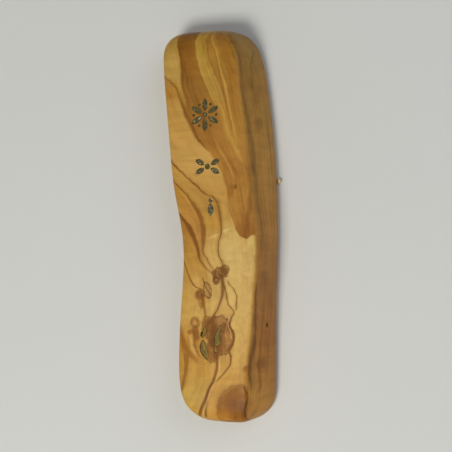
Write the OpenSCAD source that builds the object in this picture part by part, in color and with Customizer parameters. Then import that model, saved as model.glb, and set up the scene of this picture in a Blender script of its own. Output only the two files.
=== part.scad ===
// Olive-wood mezuzah case with a slide-out back tray that carries the scroll.
// +X is right as seen from the front, -Y is the front, +Z is up, in millimetres.
// The origin is the middle of the flat back, on the plane that lies against the doorpost.

/* [Case] */
// Overall height of the case
case_height = 200; // [194:1:212]
// Width of the back at mid height
case_width = 48; // [46.5:0.5:54]
// Depth from the back to the crest of the front
case_depth = 27; // [26.5:0.5:32]
// Smoothness along the height, in rows to each station
rows_per_station = 2; // [1:1:3]
// Smoothness round the case, in points to each cage column
points_per_column = 3; // [2:1:4]

/* [Scroll] */
// Height of the rolled parchment
scroll_length = 120; // [90:1:120]
// Radius of the rolled parchment
scroll_radius = 6.3; // [5:0.1:6.3]
// Head room above the scroll in its chamber
scroll_play = 3; // [2:0.5:4]
// Thickness of the clear sleeve
sleeve_wall = 0.3; // [0.2:0.1:0.3]
// Height of each cotton tie
tie_height = 3; // [2:0.5:5]

/* [Back tray] */
// Width of the dovetail groove where it meets the back
groove_mouth = 19; // [18:0.5:21]
// Thickness of the tray
tray_thickness = 3; // [2.8:0.1:3.2]
// How far the tray lies in from the back of the case
tray_inset = 0.4; // [0.3:0.1:0.6]
// Length of groove above the scroll chamber
groove_grip = 13; // [11:0.5:14]
// Height of the foot block that closes the bottom
foot_height = 16; // [15:0.5:18]
// Clearance round the parts that slide
slide_gap = 0.3; // [0.25:0.05:0.4]

/* [Hanger] */
// Height of the keyhole's entry hole above the middle of the case
keyhole_z = 71; // [69:0.5:73]
// Radius of the keyhole's entry hole
keyhole_radius = 4; // [3.5:0.25:4.25]
// Thickness of the brass plate
plate_thickness = 1.5; // [1.2:0.1:1.6]

/* [Inlay] */
// Depth of the inlaid ornaments
inlay_depth = 1.2; // [0.8:0.1:1.6]
// Radius of the upper rosette
rosette_radius = 8.5; // [7:0.5:9]

/* [Mounting strips] */
// Thickness of the adhesive strips
strip_thickness = 1.1; // [1:0.1:1.4]
// How far the strips stand proud of the back
strip_proud = 0.3; // [0.2:0.1:0.4]

/* [Hidden] */
$fn = 48;

wood = "#c39a4e";
wood_dark = "#a9803c";
inlay_green = "#565422";
resin = "#7d6a28";
brass = "#b8964a";
steel = "#b4b6b8";
parchment = "#e6d8b4";
clear_film = "#dfe6e6";
cotton = "#efe8d6";
adhesive = "#d9d2b0";

// Stations of the carved block, from the bottom to the top of a 200 x 48 x 27 case:
// height, left arris, crest, right edge, depth at the left arris, depth at the crest.
stations = [
    [-99.4,  -6.0,  9.0, 11.5, 15.0, 16.0],
    [-97.4, -12.5, 13.0, 17.5, 20.5, 22.5],
    [-91.0, -20.0, 15.2, 24.0, 22.5, 25.5],
    [-81.0, -22.6, 15.3, 24.4, 23.0, 26.0],
    [-67.0, -22.8, 15.2, 24.4, 23.0, 26.5],
    [-50.0, -22.2, 17.0, 24.4, 23.0, 27.0],
    [-32.0, -20.9, 19.2, 24.5, 23.0, 27.5],
    [-14.0, -19.7, 20.3, 25.4, 23.0, 27.5],
    [  2.0, -21.6, 19.2, 25.4, 23.0, 27.5],
    [ 18.0, -25.6, 17.2, 25.1, 23.0, 27.0],
    [ 36.0, -27.4, 15.0, 24.0, 23.0, 26.5],
    [ 54.0, -29.1, 13.2, 22.3, 22.5, 26.0],
    [ 70.0, -30.6, 11.4, 20.1, 22.5, 25.5],
    [ 82.0, -31.6, 10.0, 18.2, 22.0, 24.5],
    [ 92.0, -32.0,  8.0, 14.8, 21.0, 22.5],
    [ 98.3, -26.8,  3.0,  8.5, 17.0, 18.0],
    [100.0, -20.0, -1.0,  3.0, 12.0, 12.5]
];
nominal_size = [48, 27, 200];
block_scale = [case_width / nominal_size.x, case_depth / nominal_size.y,
               case_height / nominal_size.z];
crown = 0.6;          // swell of the front between its two edges
left_flare = 2.5;     // how much wider the back is than the left arris
past_back = 8;        // cage points lie this far behind the back plane

// Room behind the front: every inner part hangs on these
bottom = -case_height / 2;
foot_top = bottom + foot_height;
chamber_top = foot_top + scroll_length + scroll_play;
groove_top = chamber_top + groove_grip;
channel_x = -1;
tray_outer = -tray_inset;
tray_inner = tray_outer - tray_thickness;
groove_floor = tray_inner - slide_gap;
sleeve_radius = scroll_radius + sleeve_wall;
tie_radius = sleeve_radius + 0.3;
channel_radius = tie_radius + slide_gap;
scroll_y = tray_inner - slide_gap - tie_radius;
scroll_rest = 0.1;    // the scroll stands on the foot with this hairline gap
dovetail_slope = 0.5;
tray_top = groove_top - slide_gap;

magnet_radius = 2.5;
magnet_thickness = 1.5;
magnet_z = groove_top - 6;
dowel_radius = 1.2;
dowel_end = -9;
dowel_rise = [5, 11];  // heights of the two dowels above the bottom

hanger_x = -7;
plate_width = 14;
plate_half_span = 10;  // from the middle of the plate to the centre of each end
plate_z = keyhole_z + 4;
plate_outer = -0.1;
plate_inner = plate_outer - plate_thickness;
slot_width = 4.5;
slot_rise = 7;
pocket_depth = 5.4;
pocket_width = 9.6;
screw_offset = 13;     // from the middle of the plate to each screw
screw_shank = 1.2;
screw_head = 2.6;
screw_length = 9;

strip_width = 8;
strip_span = [-82, 36];
strip_left_x = -21.5;
strip_right_x = 11.5;
bead_z = 23;
bead_x = 24.6;
bead_radius = 1.2;
bead_y = -0.9;
runner_height = 3;

front_tilt = -5.7;     // the front leans round to the left by this angle
upper_ornament_at = [-7.4, 55.7];
middle_ornament_at = [-5.9, 29.8];
lower_ornament_at = [-4.2, 9.5];
upper_front = -24.7;   // depth of the front at each ornament and at the knot
middle_front = -25.3;
lower_front = -25.5;
knot_front = -25.0;
right_knot_front = -25.8;
fill_depth = 3;

wormhole_at = [21.6, -12.8, -49.8];
wormhole_radius = 0.9;
wormhole_depth = 6;
wormhole_turn = 76;    // the right side faces this far round from the front

// ---- spline loft of the carved block ----

function blend(a, b, t) = a + (b - a) * t;

function spline(a, b, c, d, t) =
    (pow(1 - t, 3) * a + (3 * pow(t, 3) - 6 * pow(t, 2) + 4) * b
     + (1 + 3 * t + 3 * pow(t, 2) - 3 * pow(t, 3)) * c + pow(t, 3) * d) / 6;

// Cage ring of one station, from the back left, over the front, to the back right
function cage_ring(s) =
    let (z = s[0], left = s[1], crest = s[2], right = s[3], arris = s[4], depth = s[5])
    [for (p = [
        [left - left_flare, past_back],
        [left - left_flare + 0.4, -0.26 * arris],
        [left - 0.5, -0.78 * arris],
        [left, -arris],
        [left + 5, -blend(arris, depth, 0.13) - 0.5],
        [blend(left, crest, 0.4), -blend(arris, depth, 0.4) - crown],
        [blend(left, crest, 0.7), -blend(arris, depth, 0.7) - crown],
        [crest - 4, -depth - 0.1],
        [crest, -depth],
        [crest + 1.2, -0.83 * depth],
        [right - 0.8, -0.31 * depth],
        [right, past_back]
    ]) [p.x * block_scale.x, p.y * block_scale.y, z * block_scale.z]];

// The same ring drawn in towards its own middle, to close an end
function drawn_in(ring, k) =
    let (middle = [for (p = ring) 1] * ring / len(ring))
    [for (p = ring) middle + (p - middle) * k];

rings = [for (s = stations) cage_ring(s)];
first_ring = rings[0];
last_ring = rings[len(rings) - 1];
cage = concat([drawn_in(first_ring, 0), drawn_in(first_ring, 0), drawn_in(first_ring, 0.5)],
              rings,
              [drawn_in(last_ring, 0.5), drawn_in(last_ring, 0), drawn_in(last_ring, 0)]);
columns = len(first_ring);
row_count = (len(cage) - 3) * rows_per_station + 1;
point_count = columns * points_per_column;

// One row of the surface: the spline along the height, then the spline round the ring
function surface_row(row) =
    let (k = min(floor(row / rows_per_station), len(cage) - 4),
         t = row / rows_per_station - k,
         ring = [for (j = [0:columns - 1])
                     spline(cage[k][j], cage[k + 1][j], cage[k + 2][j], cage[k + 3][j], t)])
    [for (i = [0:point_count - 1])
        let (j = floor(i / points_per_column), u = i / points_per_column - j)
        spline(ring[(j + columns - 1) % columns], ring[j],
               ring[(j + 1) % columns], ring[(j + 2) % columns], u)];

module carved_block() {
    rows = [for (row = [0:row_count - 1]) surface_row(row)];
    points = concat([for (row = rows) each row], [cage[0][0], cage[len(cage) - 1][0]]);
    bottom_pole = row_count * point_count;
    top_pole = bottom_pole + 1;
    top_row = (row_count - 1) * point_count;
    sides = [for (r = [0:row_count - 2], i = [0:point_count - 1])
                let (a = r * point_count + i, b = r * point_count + (i + 1) % point_count)
                each [[a, a + point_count, b], [b, a + point_count, b + point_count]]];
    ends = [for (i = [0:point_count - 1])
                let (next = (i + 1) % point_count)
                each [[bottom_pole, i, next], [top_pole, top_row + next, top_row + i]]];
    polyhedron(points = points, faces = concat(sides, ends), convexity = 6);
}

// The block with its back planed flat
module blank() {
    intersection() {
        carved_block();
        translate([-case_width, -2 * case_depth, -case_height])
            cube([2 * case_width, 2 * case_depth, 2 * case_height]);
    }
}

// ---- rooms cut in the block ----

// Flat dovetail section between two depths, drawn in by gap on each side
module dovetail(outer, inner, gap, z_low, z_high) {
    function half_width(y) = groove_mouth / 2 - dovetail_slope * y - gap;
    translate([channel_x, 0, z_low])
        linear_extrude(z_high - z_low)
            polygon([[-half_width(outer), outer], [half_width(outer), outer],
                     [half_width(inner), inner], [-half_width(inner), inner]]);
}

// Round-bottomed channel section, from its axis back to a flat side
module channel_room(radius, back, z_low, z_high) {
    translate([channel_x, 0, z_low]) {
        translate([0, scroll_y, 0])
            cylinder(r = radius, h = z_high - z_low);
        translate([-radius, scroll_y, 0])
            cube([2 * radius, back - scroll_y, z_high - z_low]);
    }
}

// Upright slab with round ends, lying against a back plane
module stadium_slab(width, half_span, outer, inner) {
    translate([0, outer, 0])
        rotate([90, 0, 0])
            linear_extrude(outer - inner) {
                for (end = [-1, 1])
                    translate([0, end * half_span])
                        circle(d = width);
                square([width, 2 * half_span], center = true);
            }
}

module plate_recess() {
    translate([hanger_x, 0, plate_z])
        stadium_slab(plate_width, plate_half_span, 1, plate_inner);
}

module screw_head_pocket() {
    translate([hanger_x, 0, keyhole_z + slot_rise / 2])
        stadium_slab(pocket_width, slot_rise / 2, 0, plate_inner - pocket_depth);
}

module for_each_screw() {
    for (end = [-1, 1])
        translate([hanger_x, plate_outer, plate_z + end * screw_offset])
            rotate([90, 0, 0])
                children();
}

module screw() {
    cylinder(r1 = screw_head, r2 = screw_shank, h = screw_head - screw_shank);
    cylinder(r = screw_shank, h = screw_length);
}

// ---- ornaments and knot fills: flat shapes sunk square to the front ----

module from_front(at, front, depth) {
    translate([at.x, front + depth, at.y])
        rotate([0, 0, front_tilt])
            rotate([90, 0, 0])
                linear_extrude(depth + 6)
                    children();
}

// Pointed leaf standing on its tip
module leaf(length, width) {
    arc_radius = (pow(length, 2) / 4 + pow(width, 2) / 4) / width;
    translate([0, length / 2])
        intersection() {
            translate([arc_radius - width / 2, 0])
                circle(r = arc_radius);
            translate([width / 2 - arc_radius, 0])
                circle(r = arc_radius);
        }
}

module upper_shape() {
    from_front(upper_ornament_at, upper_front, inlay_depth) {
        circle(r = rosette_radius * 0.15);
        for (i = [0:5])
            rotate(i * 60) {
                translate([0, rosette_radius * 0.22])
                    leaf(rosette_radius * 0.78, rosette_radius * 0.34);
                rotate(30)
                    translate([0, rosette_radius * 0.72])
                        circle(r = rosette_radius * 0.09);
            }
    }
}

module middle_shape() {
    from_front(middle_ornament_at, middle_front, inlay_depth) {
        circle(r = 1.5);
        for (side = [-1, 1]) {
            rotate(side * 62)
                translate([0, 1.9])
                    leaf(5.6, 2.8);
            rotate(side * 118)
                translate([0, 1.9])
                    leaf(5.6, 2.8);
        }
    }
}

module lower_shape() {
    from_front(lower_ornament_at, lower_front, inlay_depth) {
        translate([0, -4.5])
            leaf(6.6, 3.2);
        translate([0, 3.3])
            circle(r = 1.1);
    }
}

module left_fill_shape() {
    from_front([-8, -61.5], knot_front, fill_depth)
        polygon([[-0.3, 4.6], [-1.6, 3.2], [-2.3, 1.6], [-2.2, -0.4], [-1.5, -2.4], [-0.3, -4],
                 [1.1, -5.3], [2.1, -5.8], [2.4, -4.6], [2.3, -2.6], [1.6, 0.6], [0.8, 3.2]]);
}

module upper_fill_shape() {
    from_front([-8.2, -53.2], knot_front, fill_depth)
        polygon([[1, 3.3], [0.3, 2], [-0.4, 0.6], [-1.6, -0.7], [-1.5, -2.2], [-0.3, -3],
                 [1, -1.4], [1.6, 0.8]]);
}

module right_fill_shape() {
    from_front([-0.6, -55.2], right_knot_front, fill_depth)
        polygon([[1.7, 6.1], [0.7, 4.4], [-0.6, 2.2], [-1.6, 0.2], [-1.8, -2.4], [-1.4, -4.6],
                 [-1.3, -8.2], [-0.8, -8.2], [-0.6, -5], [0.4, -4.9], [1.8, -3.4], [2, 0.6],
                 [1.8, 3.6]]);
}

// ---- the fixed case ----

module strip_rebate(x, thickness_room) {
    translate([x, -thickness_room, strip_span[0]])
        cube([strip_width, thickness_room + 1, strip_span[1] - strip_span[0]]);
}

module bead_runner(back) {
    depth = strip_thickness - strip_proud;
    translate([strip_right_x, -depth, bead_z - runner_height / 2])
        cube([bead_x - strip_right_x, depth + back, runner_height]);
}

module case_body() {
    rebate = strip_thickness - strip_proud;
    color(wood)
        difference() {
            blank();
            channel_room(channel_radius, 1, bottom - 5, chamber_top);
            dovetail(1, groove_floor, 0, bottom - 5, groove_top);
            translate([channel_x, groove_floor + 0.5, magnet_z])
                rotate([90, 0, 0])
                    cylinder(r = magnet_radius, h = magnet_thickness + 0.5);
            strip_rebate(strip_left_x, rebate);
            strip_rebate(strip_right_x, rebate);
            translate([strip_right_x, -rebate, bead_z - runner_height / 2])
                cube([20, rebate + 1, runner_height]);
            plate_recess();
            screw_head_pocket();
            for_each_screw()
                cylinder(r = screw_shank, h = screw_length);
            upper_shape();
            middle_shape();
            lower_shape();
            left_fill_shape();
            upper_fill_shape();
            right_fill_shape();
            translate(wormhole_at)
                rotate([90, 0, wormhole_turn])
                    translate([0, 0, -wormhole_depth])
                        cylinder(r = wormhole_radius, h = wormhole_depth + 4);
        }
}

module inlaid(tint) {
    color(tint)
        intersection() {
            blank();
            children();
        }
}

module upper_ornament() {
    inlaid(inlay_green)
        upper_shape();
}

module middle_ornament() {
    inlaid(inlay_green)
        middle_shape();
}

module lower_ornament() {
    inlaid(inlay_green)
        lower_shape();
}

module left_knot_fill() {
    inlaid(resin)
        left_fill_shape();
}

module upper_knot_fill() {
    inlaid(resin)
        upper_fill_shape();
}

module right_knot_fill() {
    inlaid(resin)
        right_fill_shape();
}

module mounting_strip(x) {
    translate([x, strip_proud - strip_thickness, strip_span[0]])
        cube([strip_width, strip_thickness, strip_span[1] - strip_span[0]]);
}

module left_mounting_strip() {
    color(adhesive)
        mounting_strip(strip_left_x);
}

// The right strip has squeezed a small bead of adhesive out past the edge
module right_mounting_strip() {
    color(adhesive) {
        mounting_strip(strip_right_x);
        bead_runner(strip_proud);
        translate([bead_x, bead_y, bead_z])
            sphere(r = bead_radius);
    }
}

module hanger_plate() {
    color(brass)
        difference() {
            translate([hanger_x, 0, plate_z])
                stadium_slab(plate_width, plate_half_span, plate_outer, plate_inner);
            translate([hanger_x, 1, keyhole_z])
                rotate([90, 0, 0])
                    cylinder(r = keyhole_radius, h = 6);
            translate([hanger_x - slot_width / 2, -4, keyhole_z])
                cube([slot_width, 6, slot_rise]);
            translate([hanger_x, 1, keyhole_z + slot_rise])
                rotate([90, 0, 0])
                    cylinder(d = slot_width, h = 6);
            for_each_screw()
                screw();
        }
}

module hanger_screws() {
    color(steel)
        for_each_screw()
            difference() {
                screw();
                for (turn = [0, 90])
                    rotate(turn)
                        cube([3, 0.5, 1.4], center = true);
            }
}

module case_magnet() {
    color(steel)
        translate([channel_x, groove_floor, magnet_z])
            rotate([90, 0, 0])
                cylinder(r = magnet_radius, h = magnet_thickness);
}

// ---- the back tray, which slides down out of the case ----

module dowel_holes(radius) {
    for (rise = dowel_rise)
        translate([channel_x, tray_outer, bottom + rise])
            rotate([90, 0, 0])
                cylinder(r = radius, h = tray_outer - dowel_end);
}

module tray_back() {
    color(wood_dark)
        difference() {
            intersection() {
                blank();
                dovetail(tray_outer, tray_inner, slide_gap, bottom - 5, tray_top);
            }
            translate([channel_x, tray_inner + magnet_thickness, magnet_z])
                rotate([90, 0, 0])
                    cylinder(r = magnet_radius, h = magnet_thickness + 1);
            dowel_holes(dowel_radius);
        }
}

module tray_foot() {
    color(wood)
        difference() {
            intersection() {
                blank();
                channel_room(channel_radius - slide_gap, tray_inner, bottom - 5, foot_top);
            }
            dowel_holes(dowel_radius);
            translate([channel_x - 20, scroll_y, bottom])
                rotate([0, 90, 0])
                    cylinder(r = 2.6, h = 40);
        }
}

module foot_dowels() {
    color(wood_dark)
        dowel_holes(dowel_radius);
}

module tray_magnet() {
    color(steel)
        translate([channel_x, tray_inner + magnet_thickness, magnet_z])
            rotate([90, 0, 0])
                cylinder(r = magnet_radius, h = magnet_thickness);
}

// ---- the scroll, which stands on the foot ----

module on_foot(height) {
    translate([channel_x, scroll_y, foot_top + scroll_rest + height])
        children();
}

module scroll_parchment() {
    color(parchment)
        on_foot(0)
            difference() {
                cylinder(r = scroll_radius, h = scroll_length - scroll_rest);
                translate([0, 0, -1])
                    cylinder(r = scroll_radius * 0.25, h = scroll_length + 2);
            }
}

module scroll_sleeve() {
    color(clear_film)
        on_foot(1)
            difference() {
                cylinder(r = sleeve_radius, h = scroll_length - 2);
                translate([0, 0, -1])
                    cylinder(r = scroll_radius, h = scroll_length);
            }
}

module scroll_ties() {
    color(cotton)
        for (part = [0.28, 0.72])
            on_foot(scroll_length * part)
                difference() {
                    cylinder(r = tie_radius, h = tie_height);
                    translate([0, 0, -1])
                        cylinder(r = sleeve_radius, h = tie_height + 2);
                }
}

case_body();
upper_ornament();
middle_ornament();
lower_ornament();
left_knot_fill();
upper_knot_fill();
right_knot_fill();
left_mounting_strip();
right_mounting_strip();
hanger_plate();
hanger_screws();
case_magnet();
tray_back();
tray_foot();
foot_dowels();
tray_magnet();
scroll_parchment();
scroll_sleeve();
scroll_ties();
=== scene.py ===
"""Looks of an olive-wood mezuzah case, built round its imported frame.

+X is right as seen from the front, -Y is the front, +Z is up. The back lies on y = 0.
Sizes in the classes are millimetres, and MM turns them into Blender's metres.
"""
import logging
import math
from dataclasses import dataclass, field
from enum import Enum
from typing import Callable, Sequence, Union

import bmesh
import bpy
from mathutils import Matrix, Vector


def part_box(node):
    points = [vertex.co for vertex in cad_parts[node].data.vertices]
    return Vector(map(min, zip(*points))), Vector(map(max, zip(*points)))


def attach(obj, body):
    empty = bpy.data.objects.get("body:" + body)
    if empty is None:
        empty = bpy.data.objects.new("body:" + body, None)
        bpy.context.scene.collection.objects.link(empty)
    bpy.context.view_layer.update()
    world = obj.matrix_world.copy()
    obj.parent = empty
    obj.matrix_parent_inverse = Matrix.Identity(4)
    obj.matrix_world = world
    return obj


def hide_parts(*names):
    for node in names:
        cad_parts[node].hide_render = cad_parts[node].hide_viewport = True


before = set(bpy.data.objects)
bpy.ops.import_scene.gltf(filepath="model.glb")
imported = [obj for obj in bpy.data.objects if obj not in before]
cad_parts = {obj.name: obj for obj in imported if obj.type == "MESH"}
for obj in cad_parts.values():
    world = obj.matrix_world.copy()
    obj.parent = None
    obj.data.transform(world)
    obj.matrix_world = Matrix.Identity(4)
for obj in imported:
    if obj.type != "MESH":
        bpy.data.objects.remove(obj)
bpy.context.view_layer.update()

MM = 0.001
MADE = "_finish"         # ends the name of each material that is made here
LOG = logging.getLogger("mezuzah_case")
Piece = bpy.types.Object
Outlet = bpy.types.NodeSocket
Socket = Union[Outlet, float, int]
Point2 = tuple[float, float]
Point3 = tuple[float, float, float]


# ---------------------------------------------------------------- modelling by hand

def close_mesh() -> None:
    """Leaves edit mode."""
    bpy.ops.object.mode_set(mode="OBJECT")


def deselect_all() -> None:
    """Leaves edit mode and clears the selection."""
    if bpy.context.object is not None and bpy.context.object.mode != "OBJECT":
        close_mesh()
    bpy.ops.object.select_all(action="DESELECT")


def take(*pieces: Piece) -> None:
    """Selects only these pieces and makes the first of them active.

    Args:
        pieces: the objects to select.
    """
    deselect_all()
    for piece in pieces:
        piece.select_set(True)
    bpy.context.view_layer.objects.active = pieces[0]


def fix_place(piece: Piece) -> None:
    """Puts a piece's place, turn and scale into its mesh."""
    take(piece)
    bpy.ops.object.transform_apply(location=True, rotation=True, scale=True)


def open_mesh(piece: Piece, mode: str = "VERT") -> None:
    """Enters edit mode on a piece with nothing selected.

    Args:
        piece: the piece to edit.
        mode: VERT, EDGE or FACE.
    """
    take(piece)
    bpy.ops.object.mode_set(mode="EDIT")
    bpy.ops.mesh.select_mode(type=mode)
    bpy.ops.mesh.select_all(action="DESELECT")


def pick_points(piece: Piece, test: Callable[[Vector], bool]) -> None:
    """Selects the points of the open mesh that pass a test on their place.

    Args:
        piece: the piece in edit mode.
        test: takes a point's place and says whether to select it.
    """
    mesh = bmesh.from_edit_mesh(piece.data)
    for point in mesh.verts:
        point.select = test(point.co)
    mesh.select_flush_mode()
    bmesh.update_edit_mesh(piece.data)


def pick_faces(piece: Piece, test: Callable[[Vector, Vector], bool]) -> None:
    """Selects the faces of the open mesh that pass a test on their middle and normal.

    Args:
        piece: the piece in edit mode.
        test: takes a face's middle and normal and says whether to select it.
    """
    mesh = bmesh.from_edit_mesh(piece.data)
    mesh.normal_update()
    for face in mesh.faces:
        face.select_set(test(face.calc_center_median(), face.normal))
    bmesh.update_edit_mesh(piece.data)


def pick_all() -> None:
    """Selects all of the open mesh."""
    bpy.ops.mesh.select_all(action="SELECT")


def saw(at: Sequence[float], normal: Sequence[float]) -> None:
    """Selects all of the open mesh and saws off what lies past a plane, closing the cut.

    Args:
        at: a point on the plane, in millimetres.
        normal: the direction in which everything goes.
    """
    pick_all()
    bpy.ops.mesh.bisect(plane_co=[c * MM for c in at], plane_no=normal, clear_outer=True,
                        use_fill=True, threshold=1e-4 * MM)


def modify(piece: Piece, kind: str, **settings: object) -> None:
    """Adds a modifier to a piece and applies it.

    Args:
        piece: the piece to change.
        kind: the modifier's type.
        settings: its properties.
    """
    take(piece)
    modifier = piece.modifiers.new(kind.lower(), kind)
    for name, value in settings.items():
        setattr(modifier, name, value)
    bpy.ops.object.modifier_apply(modifier=modifier.name)


def combine(piece: Piece, tool: Piece, operation: str) -> None:
    """Cuts, joins or intersects a piece with a tool solid, and throws the tool away.

    Args:
        piece: the piece that stays.
        tool: the solid that acts on it.
        operation: DIFFERENCE, UNION or INTERSECT.
    """
    modify(piece, "BOOLEAN", object=tool, operation=operation, solver="EXACT", use_self=False)
    bpy.data.objects.remove(tool)


def copy_of(piece: Piece) -> Piece:
    """Copies a piece with a mesh of its own.

    Args:
        piece: the piece to copy.

    Returns:
        The copy.
    """
    twin = piece.copy()
    twin.data = piece.data.copy()
    bpy.context.scene.collection.objects.link(twin)
    return twin


def joined(pieces: Sequence[Piece]) -> Piece:
    """Joins pieces into one object.

    Args:
        pieces: the pieces to join, the first of which takes in the others.

    Returns:
        The joined object.
    """
    take(*pieces)
    if len(pieces) > 1:
        bpy.ops.object.join()
    return bpy.context.object


def box(low: Point3, high: Point3) -> Piece:
    """Adds a box between two corners in millimetres.

    Args:
        low: its lowest corner.
        high: its highest corner.

    Returns:
        The box.
    """
    deselect_all()
    middle = [(a + b) / 2 * MM for a, b in zip(low, high)]
    bpy.ops.mesh.primitive_cube_add(size=1, location=middle)
    piece = bpy.context.object
    piece.scale = [(b - a) * MM for a, b in zip(low, high)]
    fix_place(piece)
    return piece


def rod(radius: float, start: Point3, end: Point3, sides: int = 64) -> Piece:
    """Adds a straight rod from one point to another, in millimetres.

    Args:
        radius: its radius.
        start: the middle of its first end.
        end: the middle of its other end.
        sides: how many flats stand for the circle.

    Returns:
        The rod.
    """
    deselect_all()
    a = Vector(start) * MM
    b = Vector(end) * MM
    bpy.ops.mesh.primitive_cylinder_add(
        vertices=sides, radius=radius * MM, depth=(b - a).length, location=(a + b) / 2,
        rotation=(b - a).to_track_quat("Z", "Y").to_euler())
    piece = bpy.context.object
    fix_place(piece)
    return piece


def bevel_sharp(piece: Piece, width: float, segments: int = 2, angle: float = 40) -> None:
    """Breaks a piece's sharp edges.

    Args:
        piece: the piece to soften.
        width: the bevel's width in millimetres.
        segments: how many steps it has.
        angle: edges sharper than this many degrees are bevelled.
    """
    modify(piece, "BEVEL", width=width * MM, segments=segments, limit_method="ANGLE",
           angle_limit=math.radians(angle), use_clamp_overlap=True)


def smooth(piece: Piece, angle: float = 35) -> None:
    """Shades a piece smooth, apart from edges sharper than an angle in degrees."""
    take(piece)
    bpy.ops.object.shade_smooth_by_angle(angle=math.radians(angle))


def face_outwards(piece: Piece) -> None:
    """Merges a piece's doubles and turns all its faces outwards."""
    open_mesh(piece)
    pick_all()
    bpy.ops.mesh.remove_doubles(threshold=0.001 * MM)
    bpy.ops.mesh.normals_make_consistent(inside=False)
    close_mesh()


# ---------------------------------------------------------------- finishes

def tint(code: str) -> tuple[float, float, float, float]:
    """Turns a colour code such as #c8a468 into linear red, green, blue and alpha."""
    parts = [int(code[i:i + 2], 16) / 255 for i in (1, 3, 5)]
    linear = [c / 12.92 if c <= 0.04045 else ((c + 0.055) / 1.055) ** 2.4 for c in parts]
    return (linear[0], linear[1], linear[2], 1.0)


class Graph:
    """A material's node tree, with short calls for the nodes that the finishes use."""

    def __init__(self, name: str) -> None:
        """Starts an empty material.

        Args:
            name: the material's name.
        """
        self.material = bpy.data.materials.new(name + MADE)
        self.material.use_nodes = True
        self.tree = self.material.node_tree
        self.tree.nodes.clear()
        self.output = self.tree.nodes.new("ShaderNodeOutputMaterial")
        self.shader = self.tree.nodes.new("ShaderNodeBsdfPrincipled")
        self.join(self.shader.outputs[0], self.output.inputs["Surface"])

    def node(self, kind: str, **settings: object) -> bpy.types.Node:
        """Adds a node and sets its properties."""
        made = self.tree.nodes.new(kind)
        for name, value in settings.items():
            setattr(made, name, value)
        return made

    def join(self, value: object, socket: Outlet) -> None:
        """Links a socket to another, or sets a plain value on it."""
        if isinstance(value, Outlet):
            self.tree.links.new(value, socket)
        elif value is not None:
            socket.default_value = value

    def maths(self, operation: str, a: Socket, b: Socket = 0.0, c: Socket = 0.0,
              clamp: bool = False) -> Outlet:
        """Works out a number from up to three others.

        Args:
            operation: the Math node's operation.
            a: the first number.
            b: the second.
            c: the third.
            clamp: keeps the answer between 0 and 1.

        Returns:
            The answer's socket.
        """
        made = self.node("ShaderNodeMath", operation=operation, use_clamp=clamp)
        for value, socket in zip((a, b, c), made.inputs):
            self.join(value, socket)
        return made.outputs[0]

    def plus(self, a: Socket, b: Socket) -> Outlet:
        """Adds two numbers."""
        return self.maths("ADD", a, b)

    def less(self, a: Socket, b: Socket) -> Outlet:
        """Takes the second number from the first."""
        return self.maths("SUBTRACT", a, b)

    def times(self, a: Socket, b: Socket) -> Outlet:
        """Multiplies two numbers."""
        return self.maths("MULTIPLY", a, b)

    def scaled(self, value: Socket, by: Socket, extra: Socket) -> Outlet:
        """Multiplies a number and then adds to it."""
        return self.maths("MULTIPLY_ADD", value, by, extra)

    def step(self, value: Socket, low: Socket, high: Socket) -> Outlet:
        """Rises smoothly from 0 to 1 as value goes from low to high."""
        made = self.node("ShaderNodeMapRange", interpolation_type="SMOOTHSTEP")
        self.join(value, made.inputs["Value"])
        self.join(low, made.inputs["From Min"])
        self.join(high, made.inputs["From Max"])
        return made.outputs["Result"]

    def mix(self, share: Socket, a: object, b: object, blend: str = "MIX") -> Outlet:
        """Mixes two colours.

        Args:
            share: how much of the second, from 0 to 1.
            a: the first colour.
            b: the second colour.
            blend: the Mix node's blend type.

        Returns:
            The mixed colour's socket.
        """
        made = self.node("ShaderNodeMix", data_type="RGBA", blend_type=blend, clamp_factor=True)
        self.join(share, made.inputs[0])
        self.join(a, made.inputs[6])
        self.join(b, made.inputs[7])
        return made.outputs[2]

    def ramp(self, value: Socket, stops: Sequence[tuple[float, tuple]]) -> bpy.types.Node:
        """Adds a colour ramp.

        Args:
            value: what it reads, from 0 to 1.
            stops: places and colours, in rising order.

        Returns:
            The ramp node.
        """
        made = self.node("ShaderNodeValToRGB")
        elements = made.color_ramp.elements
        elements[0].position, elements[0].color = stops[0]
        elements[1].position, elements[1].color = stops[-1]
        for place, colour in stops[1:-1]:
            elements.new(place).color = colour
        self.join(value, made.inputs[0])
        return made

    def place(self) -> tuple[Outlet, ...]:
        """Object coordinates in millimetres, as three sockets."""
        coordinates = self.node("ShaderNodeTexCoord")
        scaled = self.node("ShaderNodeVectorMath", operation="SCALE")
        self.join(coordinates.outputs["Object"], scaled.inputs[0])
        scaled.inputs["Scale"].default_value = 1 / MM
        parts = self.node("ShaderNodeSeparateXYZ")
        self.join(scaled.outputs[0], parts.inputs[0])
        return tuple(parts.outputs)

    def vector(self, x: Socket, y: Socket, z: Socket) -> Outlet:
        """Puts three numbers together as a vector."""
        made = self.node("ShaderNodeCombineXYZ")
        for value, socket in zip((x, y, z), made.inputs):
            self.join(value, socket)
        return made.outputs[0]

    def stretched(self, places: Sequence[Socket], by: Point3) -> Outlet:
        """Scales three coordinates, each by its own factor, into a vector."""
        return self.vector(*(self.times(p, k) for p, k in zip(places, by)))

    def noise(self, vector: Outlet, scale: float, detail: float, rough: float = 0.5,
              distort: float = 0.0) -> Outlet:
        """Noise at a place.

        Args:
            vector: where to read it.
            scale: how fine it is.
            detail: how many finer layers it has.
            rough: how strong the finer layers are.
            distort: how much it swirls.

        Returns:
            The noise's value, about 0.5 on average.
        """
        made = self.node("ShaderNodeTexNoise")
        self.join(vector, made.inputs["Vector"])
        made.inputs["Scale"].default_value = scale
        made.inputs["Detail"].default_value = detail
        made.inputs["Roughness"].default_value = rough
        made.inputs["Distortion"].default_value = distort
        return made.outputs["Fac"]

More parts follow.
